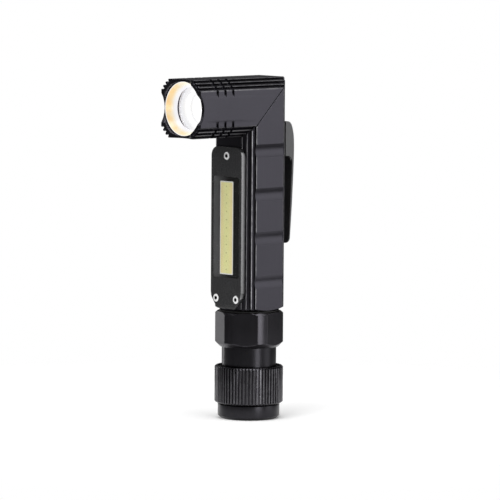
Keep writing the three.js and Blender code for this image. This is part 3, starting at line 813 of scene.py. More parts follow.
def spigot():
    crest, core, bore, seal_floor = mm([11.6, 10.9, 9.8, 10.8])
    top = BODY_BOTTOM + 0.05 * MM
    segments = 96
    start = SPIGOT_BOTTOM + 0.3 * MM
    end = RING_GROOVE[0] - 0.4 * MM
    steps = 48

    def thread(angle, z):
        phase = (z / PITCH - angle / (2 * math.pi)) % 1.0
        ridge = max(0.0, min(1.0, 2.2 - abs(phase - 0.5) * 6.0))
        fade = min(1.0, (z - start) / PITCH, (end - z) / PITCH)
        return core + (crest - 0.15 * MM - core) * ridge * max(0.0, fade)

    heights = [(None, start + (end - start) * i / steps) for i in range(steps + 1)]
    plain = [(core, end + 0.2 * MM), (crest, end + 0.3 * MM), (crest, RING_GROOVE[0]),
             (seal_floor, RING_GROOVE[0]), (seal_floor, RING_GROOVE[1]), (crest, RING_GROOVE[1]),
             (crest, top), (10.0 * MM, top), (bore, top)]
    profile = [(bore, SPIGOT_BOTTOM), (core - 0.2 * MM, SPIGOT_BOTTOM)] + heights + plain
    rows = []
    for radius, z in profile:
        row = []
        for i in range(segments):
            angle = 2 * math.pi * i / segments
            r = thread(angle, z) if radius is None else radius
            row.append((r * math.cos(angle), r * math.sin(angle), z))
        rows.append(row)
    return as_object("body_spigot", skin(rows, wrap_rows=True), TAIL_BLACK)


def o_ring(name, node):
    """A smooth ring in place of a frame ring about Z."""
    lower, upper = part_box(node)
    wire = (upper.z - lower.z) / 2
    section = arc((upper.x - wire, (lower.z + upper.z) / 2), wire, 0, 330, 11)
    return as_object(name, turned(section), RUBBER)


place_piece(spigot(), "body", "anodised_black")
place_piece(o_ring("body_seal", "body_o_ring"), "body", "black_rubber", "body_o_ring")

# %% [markdown]
# ## Head shell
# The head is the same extrusion laid along -Y and mitred to match. Three slots are turned across
# its ribs, which cuts every crest back to one smaller circle, and an arc is milled across each flat
# at the mouth, so that the corners stand forward as a crown. Each row is worked out from the
# section: one function holds a point to the slot circle, and another says how far the front face
# reaches at any point across it.


# %% Head shell
def crown_front(point):
    """How far forward the front face reaches at a point across the head."""
    radius = arc_radius(CROWN_HALF, CROWN_DEPTH)
    reach = HEAD_FRONT
    for offset in point:
        if abs(offset) < CROWN_HALF:
            sag = radius - CROWN_DEPTH - math.sqrt(radius ** 2 - offset ** 2)
            reach = min(reach, HEAD_FRONT + sag)
    return reach


def head_rows():
    seat, pill, bore_r = mm([32.6, 17.0, 11.85])
    rows = []

    def add(points, depths):
        rows.append([(p.x, -s, HEAD_Z + p.y) for p, s in zip(points, depths)])

    inner = [p * (1 - EASE / p.length) for p in SECTION]
    gap = MITRE_GAP * math.sqrt(0.5)
    add(inner, [gap - p.y for p in inner])
    add(SECTION, [gap - p.y + EASE * 1.4 for p in SECTION])
    held = [p * min(1.0, SLOT_R / p.length) for p in SECTION]
    for centre in SLOTS:
        near = centre - SLOT_WIDTH / 2
        far = centre + SLOT_WIDTH / 2
        for points, depth in ((SECTION, near), (held, near), (held, far), (SECTION, far)):
            add(points, [depth] * len(points))
    add(SECTION, [crown_front(p) - EASE for p in SECTION])
    add(inner, [crown_front(p) for p in inner])
    rings = 5
    mouth = MOUTH_R + EASE
    for i in range(1, rings + 1):
        points = [p.lerp(p.normalized() * mouth, i / rings) for p in inner]
        add(points, [crown_front(p) for p in points])
    edge = [p.normalized() * MOUTH_R for p in SECTION]
    add(edge, [crown_front(p) - EASE for p in edge])
    bore = [p.normalized() * bore_r for p in SECTION]
    add(edge, [seat] * len(edge))
    add(bore, [seat] * len(edge))
    add(bore, [pill] * len(edge))
    return rows


def head_shell():
    shell = as_object("head_extrusion", skin(head_rows()), HEAD_BLACK)
    web, pivot_r, recess_r, recess_depth, past = mm([3.2, 4.5, 6.8, 6, 2])
    cut(shell, moved(rod(pivot_r, -past, web + past), TO_TWIST))
    return cut(shell, moved(rod(recess_r, web, web + recess_depth), TO_TWIST))


place_piece(sharpen(head_shell()), "head", "anodised_black", "head_shell")

# %% [markdown]
# ## Lamp: cone, lens and reflector
# Behind the mouth sits a bright cone, then the glass, then the reflector, a true parabola whose
# focus is at the diode. All of them are turned about the head's axis.


# %% Lamp parts
TO_HEAD = Matrix.Translation(JOINT_CENTRE) @ TO_FRONT


def head_turned(name, outline, material, segments=160):
    return as_object(name, moved(turned(outline, segments), TO_HEAD), material)


def depth_of(node):
    """How far a head part's two ends lie from the body's axis."""
    return -high(node, 1), -low(node, 1)


cup_back, cup_front = depth_of("bezel_cup")
cup_r = high("bezel_cup", 0)
cup_hole = 9.3 * MM
cup = eased([(cup_hole, cup_back), (cup_r, cup_back), (cup_r, cup_front),
             (cup_r - 0.25 * MM, cup_front), (cup_hole + 1.0 * MM, cup_back + 1.9 * MM),
             (cup_hole, cup_back + 0.25 * MM)], 0.3 * MM, 4)
cone = head_turned("lamp_cone", cup, CONE)
recolour(cone, HEAD_BLACK,
         lambda polygon: (polygon.center - JOINT_CENTRE).xz.dot(polygon.normal.xz) > 0)
place_piece(cone, "head", "mirror_finish", "bezel_cup")

lens_back, lens_front = depth_of("lens")
lens_r = high("lens", 0)
glass = eased(band(0, lens_r, lens_back, lens_front), 0.2 * MM)
glass = [point for point in glass if point.x > 0.25 * MM]
glass = [Vector((0, lens_back))] + glass + [Vector((0, lens_front))]
lens = head_turned("lamp_glass", glass, GLASS)
# The lens's edge takes the seal's painted glow.
recolour(lens, SEAL_GLOW, lambda polygon: abs(polygon.normal.y) < 0.5)
place_piece(lens, "head", "clear_window", "lens")


def parabola():
    """The reflector bowl: depth grows with the square of the radius."""
    base, brim = depth_of("reflector")
    base += 0.4 * MM
    small, wide, wall = mm([3.0, 9.4, 0.8])
    steps = 28
    inside = []
    for i in range(steps + 1):
        radius = small + (wide - small) * i / steps
        share = (radius ** 2 - small ** 2) / (wide ** 2 - small ** 2)
        inside.append(Vector((radius, base + (brim - base) * share)))
    outside = [p + Vector((wall, -wall / 2)) for p in reversed(inside[:-1])]
    flange = high("reflector", 0)
    return inside + [Vector((flange, brim)), Vector((flange, brim - wall))] + outside


place_piece(head_turned("lamp_reflector", parabola(), GLARE), "head", "mirror_finish", "reflector")

# %% [markdown]
# ## Geometry Nodes
# What repeats is made by Geometry Nodes: one tooth becomes a knurled ring, one screw becomes a set,
# one dimple becomes the row on the work light. `Recipe` builds such a tree. Its sizes are named
# inputs, and each is set on the modifier by its socket's identifier before the result is read.


# %% Recipe for repeated parts
class Recipe(Graph):
    """A Geometry Nodes tree under way, with named inputs."""

    def __init__(self, name):
        self.tree = bpy.data.node_groups.new(name, "GeometryNodeTree")
        self.tree.is_modifier = True
        self.sockets = self.tree.interface
        self.sockets.new_socket("Geometry", in_out="INPUT", socket_type="NodeSocketGeometry")
        self.sockets.new_socket("Geometry", in_out="OUTPUT", socket_type="NodeSocketGeometry")
        self.values = {}
        self.entry = None

    def ask(self, name, kind, value):
        """A named input and the value that this torch gives it."""
        socket = self.sockets.new_socket(name, in_out="INPUT", socket_type=f"NodeSocket{kind}")
        self.values[socket.identifier] = value
        return name

    def start(self):
        """Opens the tree once its inputs are named, and gives the starting mesh."""
        self.entry = self.tree.nodes.new("NodeGroupInput")
        return self.entry.outputs["Geometry"]

    def feed(self, socket, value):
        """Takes the name of an input, an output, or a plain value."""
        super().feed(socket, self.entry.outputs[value] if isinstance(value, str) else value)

    def node(self, kind, settings, *values, **named):
        return self.add(kind, values, settings, named).outputs[0]

    def finish(self, geometry, *materials):
        """Ends the tree: real copies, welded, with one finish or with each face's own."""
        real = self.node("GeometryNodeRealizeInstances", {}, Geometry=geometry)
        painted = self.node("GeometryNodeMergeByDistance", {}, Geometry=real, Distance=1e-6)
        for material in materials:
            chosen = len(materials) == 1
            if not chosen:
                chosen = self.node("GeometryNodeMaterialSelection", {}, Material=material)
            painted = self.node("GeometryNodeSetMaterial", {}, Geometry=painted, Selection=chosen,
                                Material=material)
        leave = self.tree.nodes.new("NodeGroupOutput")
        self.tree.links.new(painted, leave.inputs["Geometry"])

    def cook(self, name, mesh, sharp=28):
        """The finished plain mesh object that the tree makes from a starting mesh."""
        raw = bpy.data.objects.new(name, mesh)
        bpy.context.scene.collection.objects.link(raw)
        modifier = raw.modifiers.new("repeat", "NODES")
        modifier.node_group = self.tree
        for identifier, value in self.values.items():
            modifier[identifier] = value
        return sharpen(settle(raw), sharp)


# %% [markdown]
# ## Knurled port ring
# The ring slides up the neck to cover the charging port. Its grip is a row of straight flutes. One
# tooth is modelled with its bevels, as wide as its share of the ring, and the tree turns copies of
# it round Z and welds them into one ring.


# %% Port ring
TEETH = 63
RING_LOW, RING_HIGH = low("port_ring", 2), high("port_ring", 2)


def ring_tooth():
    """One tooth: the ring's outline at nine angles, from the middle of one valley to the next."""
    step = 360 / TEETH
    valley = 14.45 * MM
    flank = [(0.20, TIP_R), (0.27, TIP_R - 0.10 * MM), (0.40, valley + 0.02 * MM), (0.5, valley)]
    stations = [(-share, outer) for share, outer in reversed(flank)] + [(0.0, TIP_R)] + flank
    foot = RING_LOW + 0.9 * MM
    brow = RING_HIGH - 0.6 * MM
    heights = [(13.7, RING_LOW), (13.86, RING_LOW + 0.05 * MM), (14.3, RING_LOW + 0.32 * MM),
               (14.7, RING_LOW + 0.6 * MM), (15.0, foot - 0.08 * MM), (15.2, foot + 0.06 * MM),
               (15.2, (foot + brow) / 2), (15.2, brow - 0.06 * MM), (15.0, brow + 0.1 * MM),
               (14.75, RING_HIGH - 0.2 * MM), (14.55, RING_HIGH - 0.04 * MM), (14.4, RING_HIGH)]
    bore = [(13.95, RING_HIGH), (13.8, RING_HIGH - 0.12 * MM), (13.8, RING_HIGH - 1.9 * MM),
            (12.35, RING_HIGH - 1.9 * MM), (12.35, RING_LOW + 0.1 * MM), (12.45, RING_LOW)]
    rows = []
    for share, outer in stations:
        angle = math.radians(share * step)
        loop = [(min(limit * MM, outer), z) for limit, z in heights]
        loop += [(r * MM, z) for r, z in bore]
        rows.append([(r * math.cos(angle), r * math.sin(angle), z) for r, z in loop])
    build = bmesh.new()
    grid = [[build.verts.new(point) for point in row] for row in rows]
    for left, right in zip(grid, grid[1:]):
        for i in range(len(left)):
            j = (i + 1) % len(left)
            build.faces.new((left[i], right[i], right[j], left[j]))
    mesh = bpy.data.meshes.new("tooth")
    build.to_mesh(mesh)
    build.free()
    return mesh


def port_ring():
    recipe = Recipe("ring_of_teeth")
    teeth = recipe.ask("Teeth", "Int", TEETH)
    step = recipe.ask("Step", "Float", 2 * math.pi / TEETH)
    tooth = recipe.start()
    points = recipe.node("GeometryNodePoints", {}, Count=teeth)
    index = recipe.node("GeometryNodeInputIndex", {})
    angle = recipe.node("ShaderNodeMath", {"operation": "MULTIPLY"}, index, step)
    turn = recipe.node("ShaderNodeCombineXYZ", {}, Z=angle)
    copies = recipe.node("GeometryNodeInstanceOnPoints", {}, Points=points, Instance=tooth,
                         Rotation=turn)
    recipe.finish(copies, RING_BLACK)
    return recipe.cook("knurled_ring", ring_tooth(), 24)


place_piece(port_ring(), "ring", "anodised_black", "port_ring")

# %% [markdown]
# ## Hexagonal collar and neck
# The collar is a hexagon turned down to a circle at its corners, with a cone at its lower end. At
# every height the surface is the nearer of two shapes, the hexagon and the turned outline, so the
# radius at each point is simply the smaller of the two. A fine grid of such points gives the
# curved edges that turning leaves on flats.


# %% Collar and neck
HEX_TOP = high("hex_collar", 2)
HEX_LOW = 31.8 * MM
HEX_FLAT = 14.0 * MM
HEX_R = 15.0 * MM
NECK_R = 12.0 * MM
TAIL_TURN = 40
PORT_Z = 28.2 * MM
TO_PORT = Matrix.Translation((0, 0, PORT_Z)) @ (
    Matrix.Rotation(math.radians(TAIL_TURN), 4, "Z") @ Matrix.Rotation(math.radians(-90), 4, "X"))


def hexagon(angle):
    """Distance from the axis to the hexagon at an angle in degrees."""
    off = (angle - TAIL_TURN) % 60 - 30
    return HEX_FLAT / math.cos(math.radians(off))


def stadium(offset, radius, steps):
    """Outline of two half circles that stand apart, joined by straight sides."""
    return arc((offset, 0), radius, -90, 90, steps) + arc((-offset, 0), radius, 90, 270, steps)


def collar():
    neck_low = low("hex_collar", 2)
    lower_cone = [(12.9 * MM + 2.1 * MM * i / 14, HEX_LOW + 2.1 * MM * i / 14) for i in range(15)]
    upper_cone = [(HEX_R - 0.9 * MM * i / 6, HEX_TOP - 0.8 * MM + 0.8 * MM * i / 6)
                  for i in range(7)]
    between = [(HEX_R, HEX_LOW + 2.25 * MM + (HEX_TOP - HEX_LOW - 3.2 * MM) * i / 8)
               for i in range(9)]
    neck = [(NECK_R - 0.1 * MM, neck_low), (NECK_R, neck_low + 0.1 * MM), (NECK_R, 15.0 * MM),
            (11.3 * MM, 15.0 * MM), (11.3 * MM, 16.8 * MM), (NECK_R, 16.8 * MM), (NECK_R, 24 * MM),
            (NECK_R, HEX_LOW - 0.12 * MM), (NECK_R + 0.06 * MM, HEX_LOW - 0.03 * MM),
            (NECK_R + 0.2 * MM, HEX_LOW), (12.8 * MM, HEX_LOW)]
    bore = [(12.1 * MM, HEX_TOP), (11.9 * MM, HEX_TOP - 0.2 * MM)]
    bore += mm([(11.9, 38.9), (9.9, 38.9), (9.9, 35.7), (9.0, 35.7), (9.0, 27.8), (10.2, 27.8)])
    bore += [(10.2 * MM, neck_low)]
    rows = []
    segments = 360
    for radius, z in neck + lower_cone + between + upper_cone + bore:
        row = []
        for i in range(segments):
            angle = 360 * i / segments + TAIL_TURN
            held = min(radius, hexagon(angle)) if radius > HEX_FLAT else radius
            row.append((held * math.cos(math.radians(angle)),
                        held * math.sin(math.radians(angle)), z))
        rows.append(row)
    made = as_object("collar_and_neck", skin(rows, wrap_rows=True), TAIL_BLACK, 24)
    cut(made, moved(prism(stadium(2.5 * MM, 1.6 * MM, 10), 7 * MM, 14 * MM), TO_PORT))
    # Below the hexagon, the neck takes the darker copy of the finish as painted shade.
    recolour(made, CAP_PAINTED_SHADE, lambda polygon: polygon.center.z < HEX_LOW - 0.05 * MM)
    return sharpen(made, 24)


place_piece(collar(), "tail", "anodised_black", "hex_collar")


def usb_socket():
    """A stadium-shaped steel shell with a tongue inside, facing out of the port's mouth."""
    wide, tall, back, front = mm([3.75, 1.3, 5.6, 11.4])
    outside = stadium(wide - tall, tall, 8)
    inside = stadium(wide - tall, tall - 0.3 * MM, 8)
    shell = as_object("socket_shell", prism(outside, back, front, 0.1 * MM), STEEL)
    cut(shell, prism(inside, back + 0.6 * MM, front + 1 * MM))
    blade = mm([(-2.2, -0.3), (2.2, -0.3), (2.2, 0.3), (-2.2, 0.3)])
    cut(shell, prism(blade, back + 0.4 * MM, front - 0.5 * MM), operation="UNION")
    shell.data.transform(TO_PORT)
    return shell


place_piece(sharpen(usb_socket()), "tail", "bright_steel", "usb_receptacle")

# %% [markdown]
# ## Tail cap, magnet and washer
# The tail is a turned cap with a bevel round its foot, and a nickel-plated magnet lies flush in
# its face. The washer, the O-ring and the ring's wiper are rings of matt rubber.


# %% Tail parts
def rim_of(node):
    return high(node, 0), low(node, 2), high(node, 2)


CAP_R = high("tail_cap", 0)
cap = mm([(9.1, 0), (12.2, 0)]) + [(CAP_R, 1.3 * MM), (CAP_R, 6.3 * MM)]
cap += mm([(9.9, 6.3), (9.9, 12.9), (8.4, 12.9), (8.4, 5.2), (4, 5.2), (4, 3.4), (9.1, 3.4)])
# The tail cap takes the darker copy of the tail's finish as painted shade.
place_piece(as_object("tail_foot", turned(eased(cap, 0.22 * MM), 160), CAP_PAINTED_SHADE, 40),
            "tail", "anodised_black", "tail_cap")
magnet_r, magnet_low, magnet_top = rim_of("tail_magnet")
disc = [(0, magnet_low), (magnet_r - 0.3 * MM, magnet_low), (magnet_r, magnet_low + 0.3 * MM),
        (magnet_r, magnet_top), (0, magnet_top)]
place_piece(as_object("magnet_disc", turned(disc), STEEL), "tail", "mirror_finish", "tail_magnet")
washer = turned(eased(band(11.95 * MM, *rim_of("collar_washer")), 0.15 * MM))
place_piece(as_object("washer_ring", washer, RUBBER), "washer", "black_rubber", "collar_washer")
place_piece(o_ring("neck_seal", "neck_o_ring"), "tail", "black_rubber", "neck_o_ring")
wiper = turned(eased(band(12.2 * MM, *rim_of("port_ring_seal")), 0.3 * MM))
place_piece(as_object("ring_wiper", wiper, RUBBER), "ring", "black_rubber", "port_ring_seal")

# %% [markdown]
# ## Work light
# A glossy frame holds the strip of phosphor behind a thin window. The frame is a prism with rounded edges whose
# side walls carry a painted highlight, and its recess and screw seats are cut with booleans, as they would be
# milled. The strip lies on a pale board that shows as a thin border round it.


# %% Work light frame, strip and window
FACE = -low("work_light_housing", 1)
WINDOW_LOW, WINDOW_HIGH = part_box("work_light_window")
STRIP_LOW, STRIP_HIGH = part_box("work_light_cob")
WELL_GAP = 0.1 * MM
WELL_CLEAR = 0.03 * MM
BORDER = 0.2 * MM
STRIP_TRIM = 0.25 * MM
SCREWS = [middle(f"panel_screw_{side}") for side in ("top", "left", "right")]
SCREW_R = high("panel_screw_top", 0) + 0.15 * MM
SCREW_HEAD = 0.85 * MM


def rounded_box(low_corner, high_corner, grow, corner):
    """A rectangle with round corners in X and Z, between two corners grown by a margin."""
    half = high_corner.x + grow
    bottom = low_corner.z - grow
    top = high_corner.z + grow
    points = []
    for i, (x, z) in enumerate(((half, top), (-half, top), (-half, bottom), (half, bottom))):
        centre = (x - math.copysign(corner, x), z + (-corner if z == top else corner))
        points += arc(centre, corner, 90 * i, 90 * i + 90, 5)
    return points


def work_frame():
    outline = eased(panel_outline(0.0), 0.5 * MM)
    block = front_prism(outline, SEAT + 0.1 * MM, FACE, 0.2 * MM)
    floor_depth = -WINDOW_HIGH.y - WELL_CLEAR
    well = rounded_box(WINDOW_LOW, WINDOW_HIGH, WELL_GAP, 1.2 * MM)
    pocket = rounded_box(STRIP_LOW, STRIP_HIGH, BORDER + 0.1 * MM, 0.4 * MM)
    under = FACE - SCREW_HEAD - 0.05 * MM
    made = as_object("work_frame", block, GLOSS)
    cut(made, front_prism(well, floor_depth, 16 * MM), front_prism(pocket, 12.5 * MM, 15 * MM))
    for place in SCREWS:
        seat = rod(SCREW_R + 0.08 * MM, under, 16 * MM, 48)
        cut(made, moved(seat, Matrix.Translation((place.x, 0, place.z)) @ TO_FRONT))

    def on_side(polygon):
        return abs(polygon.normal.x) > 0.75 and abs(polygon.center.x) > 9 * MM

    def in_well(polygon):
        return abs(polygon.center.y + floor_depth) < 0.01 * MM and polygon.normal.y < -0.9

    # The side walls take the painted highlight.
    recolour(made, WALL_HIGHLIGHT, on_side)
    # The well's floor takes the mask with its painted reflection.
    recolour(made, MASK_AND_REFLECTION, in_well)
    return made


place_piece(sharpen(work_frame()), "body", "black_plastic", "work_light_housing")

border = rounded_box(STRIP_LOW, STRIP_HIGH, BORDER, 0.3 * MM)
border = front_prism(border, 12.55 * MM, -STRIP_LOW.y - WELL_CLEAR, 0.05 * MM)
place_piece(as_object("strip_border", border, WHITE_BOARD), "body", "white_board",
            "work_light_board")
strip = rounded_box(STRIP_LOW, STRIP_HIGH, -STRIP_TRIM, 0.5 * MM)
strip = front_prism(strip, 12.6 * MM, -STRIP_LOW.y, 0.12 * MM)
place_piece(as_object("phosphor_strip", strip, PHOSPHOR), "body", "phosphor", "work_light_cob")
pane = rounded_box(WINDOW_LOW, WINDOW_HIGH, 0.0, 1.1 * MM)
pane = front_prism(pane, -WINDOW_HIGH.y, -WINDOW_LOW.y, 0.04 * MM)
place_piece(as_object("work_window", pane, PANE), "body", "clear_window", "work_light_window")

# %% [markdown]
# The diodes under the phosphor leave a row of faint dimples. One dimple is a flat lens shape, and
# the tree lays a line of points along the strip and puts a copy on each.


# %% Diode dimples
def dimple_material():
    paint = Paint("dimple")
    cloud = paint.grain(0.2)
    return paint.use(Roughness=0.5 + 0.1 * cloud,
                     Base_Color=paint.mix(cloud, (0.30, 0.27, 0.10), (0.44, 0.40, 0.17)))


def dimples():
    dome = mm([(0, 0.0), (0.26, 0.0), (0.20, 0.015), (0.1, 0.025), (0, 0.028)])
    recipe = Recipe("row_of_dimples")
    count = recipe.ask("Count", "Int", 11)
    start = recipe.ask("Start", "Vector", (0.0, STRIP_LOW.y, STRIP_LOW.z + 2.05 * MM))
    spacing = recipe.ask("Spacing", "Vector", (0.0, 0.0, 3.65 * MM))
    one = recipe.start()
    line = recipe.node("GeometryNodeMeshLine", {"mode": "OFFSET"}, Count=count,
                       Start_Location=start, Offset=spacing)
    copies = recipe.node("GeometryNodeInstanceOnPoints", {}, Points=line, Instance=one)
    recipe.finish(copies, DIMPLE)
    return recipe.cook("strip_dimples", moved(turned(dome, 12), TO_FRONT))


DIMPLE = dimple_material()
place_piece(dimples(), "body", "phosphor")

# %% [markdown]
# ## Screws
# The work light is held by three small socket screws and the clip's bracket by two. A screw is
# turned, and its hexagon socket is cut with a boolean. The tree puts a copy at each place, each
# one turned by a different amount, as screws that were driven home end up.


# %% Screws
def socket_screw(head_r, under, crown, shank_r, length, socket_r):
    """A screw standing on Z, with its head between under and crown."""
    outline = [(0, under - length), (shank_r, under - length), (shank_r, under), (head_r, under),
               (head_r, crown - 0.35 * MM), (head_r - 0.12 * MM, crown - 0.12 * MM),
               (head_r - 0.35 * MM, crown), (0, crown)]
    screw = as_object("screw", turned(outline, 48), SCREW_STEEL)
    six_points = arc((0, 0), socket_r, 0, 300, 5)
    cut(screw, prism(six_points, crown - 0.75 * (crown - under) - 0.3 * MM, crown + 1 * MM))

    def in_socket(polygon):
        deep = under - 0.5 * MM < polygon.center.z < crown - 0.01 * MM
        return deep and math.hypot(polygon.center.x, polygon.center.y) < socket_r * 1.02

    # The socket's faces take near-black steel as painted shade.
    recolour(screw, SOCKET_SHADE_STEEL, in_socket)
    mesh = screw.data
    bpy.data.objects.remove(screw)
    return mesh


def screw_set(name, screw, turn, places):
    """Copies of a screw, each turned about its own axis and then put in its place."""
    recipe = Recipe(name)
    inputs = [recipe.ask(f"Place {i + 1}", "Vector", place) for i, place in enumerate(places)]
    lean = recipe.ask("Lean", "Vector", turn)
    spin = recipe.ask("Spin", "Float", 0.7)
    one = recipe.start()
    join = recipe.tree.nodes.new("GeometryNodeJoinGeometry")
    for i, place in enumerate(inputs):
        amount = recipe.node("ShaderNodeMath", {"operation": "MULTIPLY"}, spin, i + 1.0)
        turned_by = recipe.node("ShaderNodeCombineXYZ", {}, Z=amount)
        spun = recipe.node("GeometryNodeTransform", {}, Geometry=one, Rotation=turned_by)
        leaned = recipe.node("GeometryNodeTransform", {}, Geometry=spun, Rotation=lean,
                             Translation=place)
        recipe.tree.links.new(leaned, join.inputs["Geometry"])
    recipe.finish(join.outputs[0], SCREW_STEEL, SOCKET_SHADE_STEEL)
    return recipe.cook(name, screw)


panel_screw = socket_screw(SCREW_R, FACE - SCREW_HEAD, FACE, *mm([1.1, 4.4, 0.92]))
places = [(p.x, 0.0, p.z) for p in SCREWS]
place_piece(screw_set("panel_screws", panel_screw, (math.radians(90), 0.0, 0.0), places),
            "body", "bright_steel", "panel_screw_top", "panel_screw_left", "panel_screw_right")
clip_screw = socket_screw(*mm([1.7, 13.8, 14.65, 0.85, 3.4, 0.8]))
places = [(0.0, 0.0, middle(node).z) for node in ("clip_screw_upper", "clip_screw_lower")]
place_piece(screw_set("clip_screws", clip_screw, (math.radians(-90), 0.0, 0.0), places),
            "body", "bright_steel", "clip_screw_upper", "clip_screw_lower")

# %% [markdown]
# ## Belt clip
# The clip is one pressing of spring steel. From the side its back is a long gentle curve: a spline through a few
# listed points. The pressing is the solid under that curve less the same solid shrunk by the thickness of the
# sheet, which leaves the back and its two cheeks; two corner cuts round the tip. It swings on a pin between the
# two ears of a bracket.


# %% Clip lever, bracket and pin
CLIP_HALF = 8.0 * MM
SHEET = 1.0 * MM
BACK = [(13.9, 130.8), (15.6, 130.7), (16.9, 129.9), (17.8, 128.2), (18.4, 126.1), (18.8, 123.5),
        (18.95, 119.3), (18.9, 115.3), (18.6, 107.3), (17.9, 94.3), (17.2, 84.3), (16.65, 76.8)]
EDGE = [(16.05, 76.8), (16.6, 84.3), (17.0, 94.3), (17.7, 107.3), (17.85, 113.3), (17.0, 114.9),
        (16.2, 115.5), (13.9, 115.5)]
PIN = Vector(JOINTS["clip_open"]["pos_m"])
PIN_HOLE_R = 1.05 * MM


def spline(points, steps=4):
    """A smooth open curve through points, by Catmull and Rom's rule."""
    held = [Vector(p) * MM for p in points]
    held = [held[0] * 2 - held[1]] + held + [held[-1] * 2 - held[-2]]
    curve = []
    for a, b, c, d in zip(held, held[1:], held[2:], held[3:]):
        for i in range(steps):
            t = i / steps
            curve.append(0.5 * (2 * b + (c - a) * t + (2 * a - 5 * b + 4 * c - d) * t ** 2
                                + (3 * b - a - 3 * c + d) * t ** 3))
    return curve + [held[-2]]


def across_x(outline, half):
    """An outline in Y and Z drawn out along X."""
    to_x = Matrix(((0, 0, 1, 0), (1, 0, 0, 0), (0, 1, 0, 0), (0, 0, 0, 1)))
    return moved(prism(outline, -half, half), to_x)


def pin_hole(half):
    """A tool that bores the hinge out to a half width."""
    return across_x([PIN.yz + p for p in arc((0, 0), PIN_HOLE_R, 0, 345, 23)], half)


def clip_lever():
    back = spline(BACK)
    edge = spline(EDGE[:5]) + [Vector(p) * MM for p in EDGE[5:]]
    lever = as_object("clip_spring_steel", across_x(back + edge, CLIP_HALF), COATED)
    hollow = [Vector((p.x - SHEET, p.y - (SHEET if p.y > 129.5 * MM else 0))) for p in back]
    base = back[-1].y
    tip = base - 1 * MM
    hollow = hollow[:-1] + [Vector((hollow[-1].x - 0.1 * MM, tip)), Vector((10 * MM, tip)),
                            Vector((10 * MM, hollow[0].y))]
    cut(lever, across_x(hollow, CLIP_HALF - SHEET))
    corner, margin = mm([2.5, 2])
    for side in (-1, 1):
        near = side * (CLIP_HALF - corner)
        far = side * (CLIP_HALF + margin)
        wedge = arc((near, base + corner), corner, -90, -90 + side * 90, 8)
        wedge += [Vector((far, base + corner)), Vector((far, base - margin)),
                  Vector((near, base - margin))]
        cut(lever, moved(prism(wedge, -30 * MM, -10 * MM), TO_FRONT))
    cut(lever, pin_hole(CLIP_HALF - 0.25 * MM))
    pad = [Vector(p) * MM for p in ((13.3, 82.7), (13.3, 84.7), (16.9, 87.5), (16.5, 79.9))]
    return cut(lever, across_x(pad, 3.2 * MM), operation="UNION")


place_piece(sharpen(clip_lever()), "clip", "black_steel", "clip_lever")


def clip_bracket():
    plate_half, plate_face, ear_x, ear_half = mm([6.7, 13.7, 6.2, 0.5])
    back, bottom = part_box("clip_bracket")[0].yz
    top = high("clip_bracket", 2)
    plate = [Vector(p) for p in band(back, plate_face, bottom, top)]
    bracket = as_object("clip_base", across_x(plate, plate_half), COATED)
    ear = [Vector(p) for p in mm([(13.3, 118.8), (13.3, 127.8)])]
    ear += [PIN.yz + p for p in reversed(arc((0, 0), 1.9 * MM, -60, 60, 12))]
    for x in (-ear_x, ear_x):
        wing = moved(across_x(ear, ear_half), Matrix.Translation((x, 0, 0)))
        cut(bracket, wing, operation="UNION")
    return cut(bracket, pin_hole(9 * MM))


place_piece(sharpen(clip_bracket()), "body", "black_steel", "clip_bracket")
pin_half = high("clip_pin", 0)
pin_rim = [p for p in eased(band(0, 0.9 * MM, -pin_half, pin_half), 0.2 * MM) if p.x > 0.3 * MM]
pin = turned([Vector((0, -pin_half))] + pin_rim + [Vector((0, pin_half))], 48)
pin.transform(Matrix.Translation(PIN) @ Matrix.Rotation(math.radians(90), 4, "Y"))
place_piece(as_object("clip_pivot", pin, COATED), "body", "bright_steel", "clip_pin")

# %% [markdown]
# ## Side switch
# The switch is a rubber button with a shallow dish and a raised rim, in a bright turned ring.


# %% Switch button and ring
button = mm([(0, 9.5), (1.6, 9.5), (1.6, 10.6), (4.1, 10.6), (4.1, 13.1), (3.95, 13.45),
             (3.6, 13.6), (3.2, 13.5), (2.9, 13.3), (2.0, 13.18), (1.0, 13.15), (0, 13.14)])
button = moved(turned(button, 96), TO_SIDE)
place_piece(as_object("rubber_button", button, RUBBER, 40), "button", "black_rubber",
            "switch_button")
ring = eased(mm([(4.4, 11.95), (5.5, 11.95), (5.5, 12.9), (4.4, 12.98)]), 0.2 * MM)
ring = moved(turned(ring, 96), TO_SIDE)
place_piece(as_object("button_ring", ring, ALUMINIUM), "body", "bare_aluminium", "switch_ring")

# %% [markdown]
# ## Camera
# A long lens from two metres away, a little above the torch and 47 degrees round from its front.

# %% Camera
AZIMUTH = math.radians(46.96)
ELEVATION = math.radians(5.18)
ROLL = math.radians(0.38)
DISTANCE = 2.0
back = Vector((math.sin(AZIMUTH) * math.cos(ELEVATION),
               -math.cos(AZIMUTH) * math.cos(ELEVATION), math.sin(ELEVATION)))
right = Vector((math.cos(AZIMUTH), math.sin(AZIMUTH), 0.0))
up = back.cross(right)
tilted_right = right * math.cos(ROLL) + up * math.sin(ROLL)
tilted_up = up * math.cos(ROLL) - right * math.sin(ROLL)
aim = Vector((0, 0, 74.17 * MM)) + right * (0.18 * MM)
camera = bpy.data.objects.new("camera", bpy.data.cameras.new("camera"))
camera.data.sensor_width = 36.0
camera.data.lens = 327.05
camera.data.clip_start = 0.05
rows = [(r, u, b, a + b * DISTANCE) for r, u, b, a in zip(tilted_right, tilted_up, back, aim)]
camera.matrix_world = Matrix((*rows, (0, 0, 0, 1)))
bpy.context.scene.collection.objects.link(camera)
bpy.context.scene.camera = camera
print("camera at", [round(v, 3) for v in camera.matrix_world.translation])

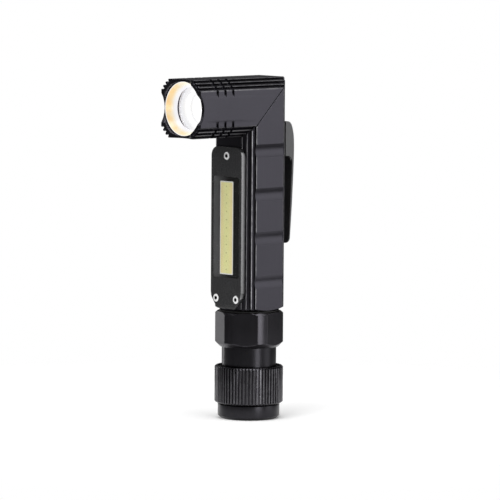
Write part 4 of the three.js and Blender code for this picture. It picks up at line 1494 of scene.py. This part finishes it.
# %% [markdown]
# ## Studio
# A black object is lit by what it reflects. A large soft panel stands to the right and behind, and
# a smaller one to the right, so that the side flats and the right of every round part reflect
# them, while what faces the front reflects a dim room. Weak panels above, to the left and in front
# lift the rest. The sky is white to the camera and dim to everything else.


# %% Floor, sky and lights
def soft_panel(name, place, size, power, height=None):
    """A soft rectangular light that faces the middle of the torch."""
    light = bpy.data.lights.new(name, "AREA")
    light.shape = "RECTANGLE"
    light.size = size
    light.size_y = height or size
    light.energy = power
    lamp = bpy.data.objects.new(name, light)
    lamp.location = place
    lamp.rotation_euler = (MIDDLE - Vector(place)).to_track_quat("-Z", "Y").to_euler()
    bpy.context.scene.collection.objects.link(lamp)
    return lamp


MIDDLE = Vector((0, 0, 0.08))
soft_panel("side_panel", (0.72, 0.60, 0.30), 0.50, 2.3, 0.86)
soft_panel("near_panel", (0.95, -0.10, 0.05), 0.28, 2.0, 0.42)
soft_panel("top_panel", (0.1, -0.1, 1.1), 0.9, 11.0)
soft_panel("left_panel", (-0.95, 0.05, 0.20), 0.25, 1.2, 0.8)
soft_panel("front_panel", (-0.62, -0.60, 0.55), 0.25, 0.5, 0.3)
fill = soft_panel("front_fill", (0.25, -0.95, 0.35), 0.8, 8.0)
fill.visible_glossy = False

FLOOR_R = 0.75
FLOOR_SOLID, FLOOR_CLEAR = 0.05, 0.24
floor = bpy.data.meshes.new("floor")
corners = ((-1, -1), (1, -1), (1, 1), (-1, 1))
floor.from_pydata([(FLOOR_R * x, FLOOR_R * y, 0) for x, y in corners], [], [(0, 1, 2, 3)])
floor_paint = Paint("pale_floor", Roughness=0.9, Specular_IOR_Level=0.1, Emission_Strength=0.12)
paper = floor_paint.grain(80)
floor_paint.use(Base_Color=floor_paint.mix(paper, (0.95, 0.95, 0.95), (0.98, 0.98, 0.98)),
                Alpha=1.0 - floor_paint.radius("z").step(FLOOR_SOLID, FLOOR_CLEAR))
ground = as_object("floor", floor, floor_paint.material)

world = bpy.data.worlds.new("studio")
bpy.context.scene.world = world
world.use_nodes = True
sky = world.node_tree.nodes["Background"]
seen = world.node_tree.nodes.new("ShaderNodeLightPath")
share = world.node_tree.nodes.new("ShaderNodeMapRange")
sky.inputs["Color"].default_value = (1, 1, 1, 1)
share.inputs["To Min"].default_value = 0.10
share.inputs["To Max"].default_value = 1.0
world.node_tree.links.new(seen.outputs["Is Camera Ray"], share.inputs["Value"])
world.node_tree.links.new(share.outputs["Result"], sky.inputs["Strength"])
bpy.context.scene.view_settings.view_transform = "Standard"
listed("lights and floor", *[item for item in bpy.data.objects if item.type == "LIGHT"], ground)
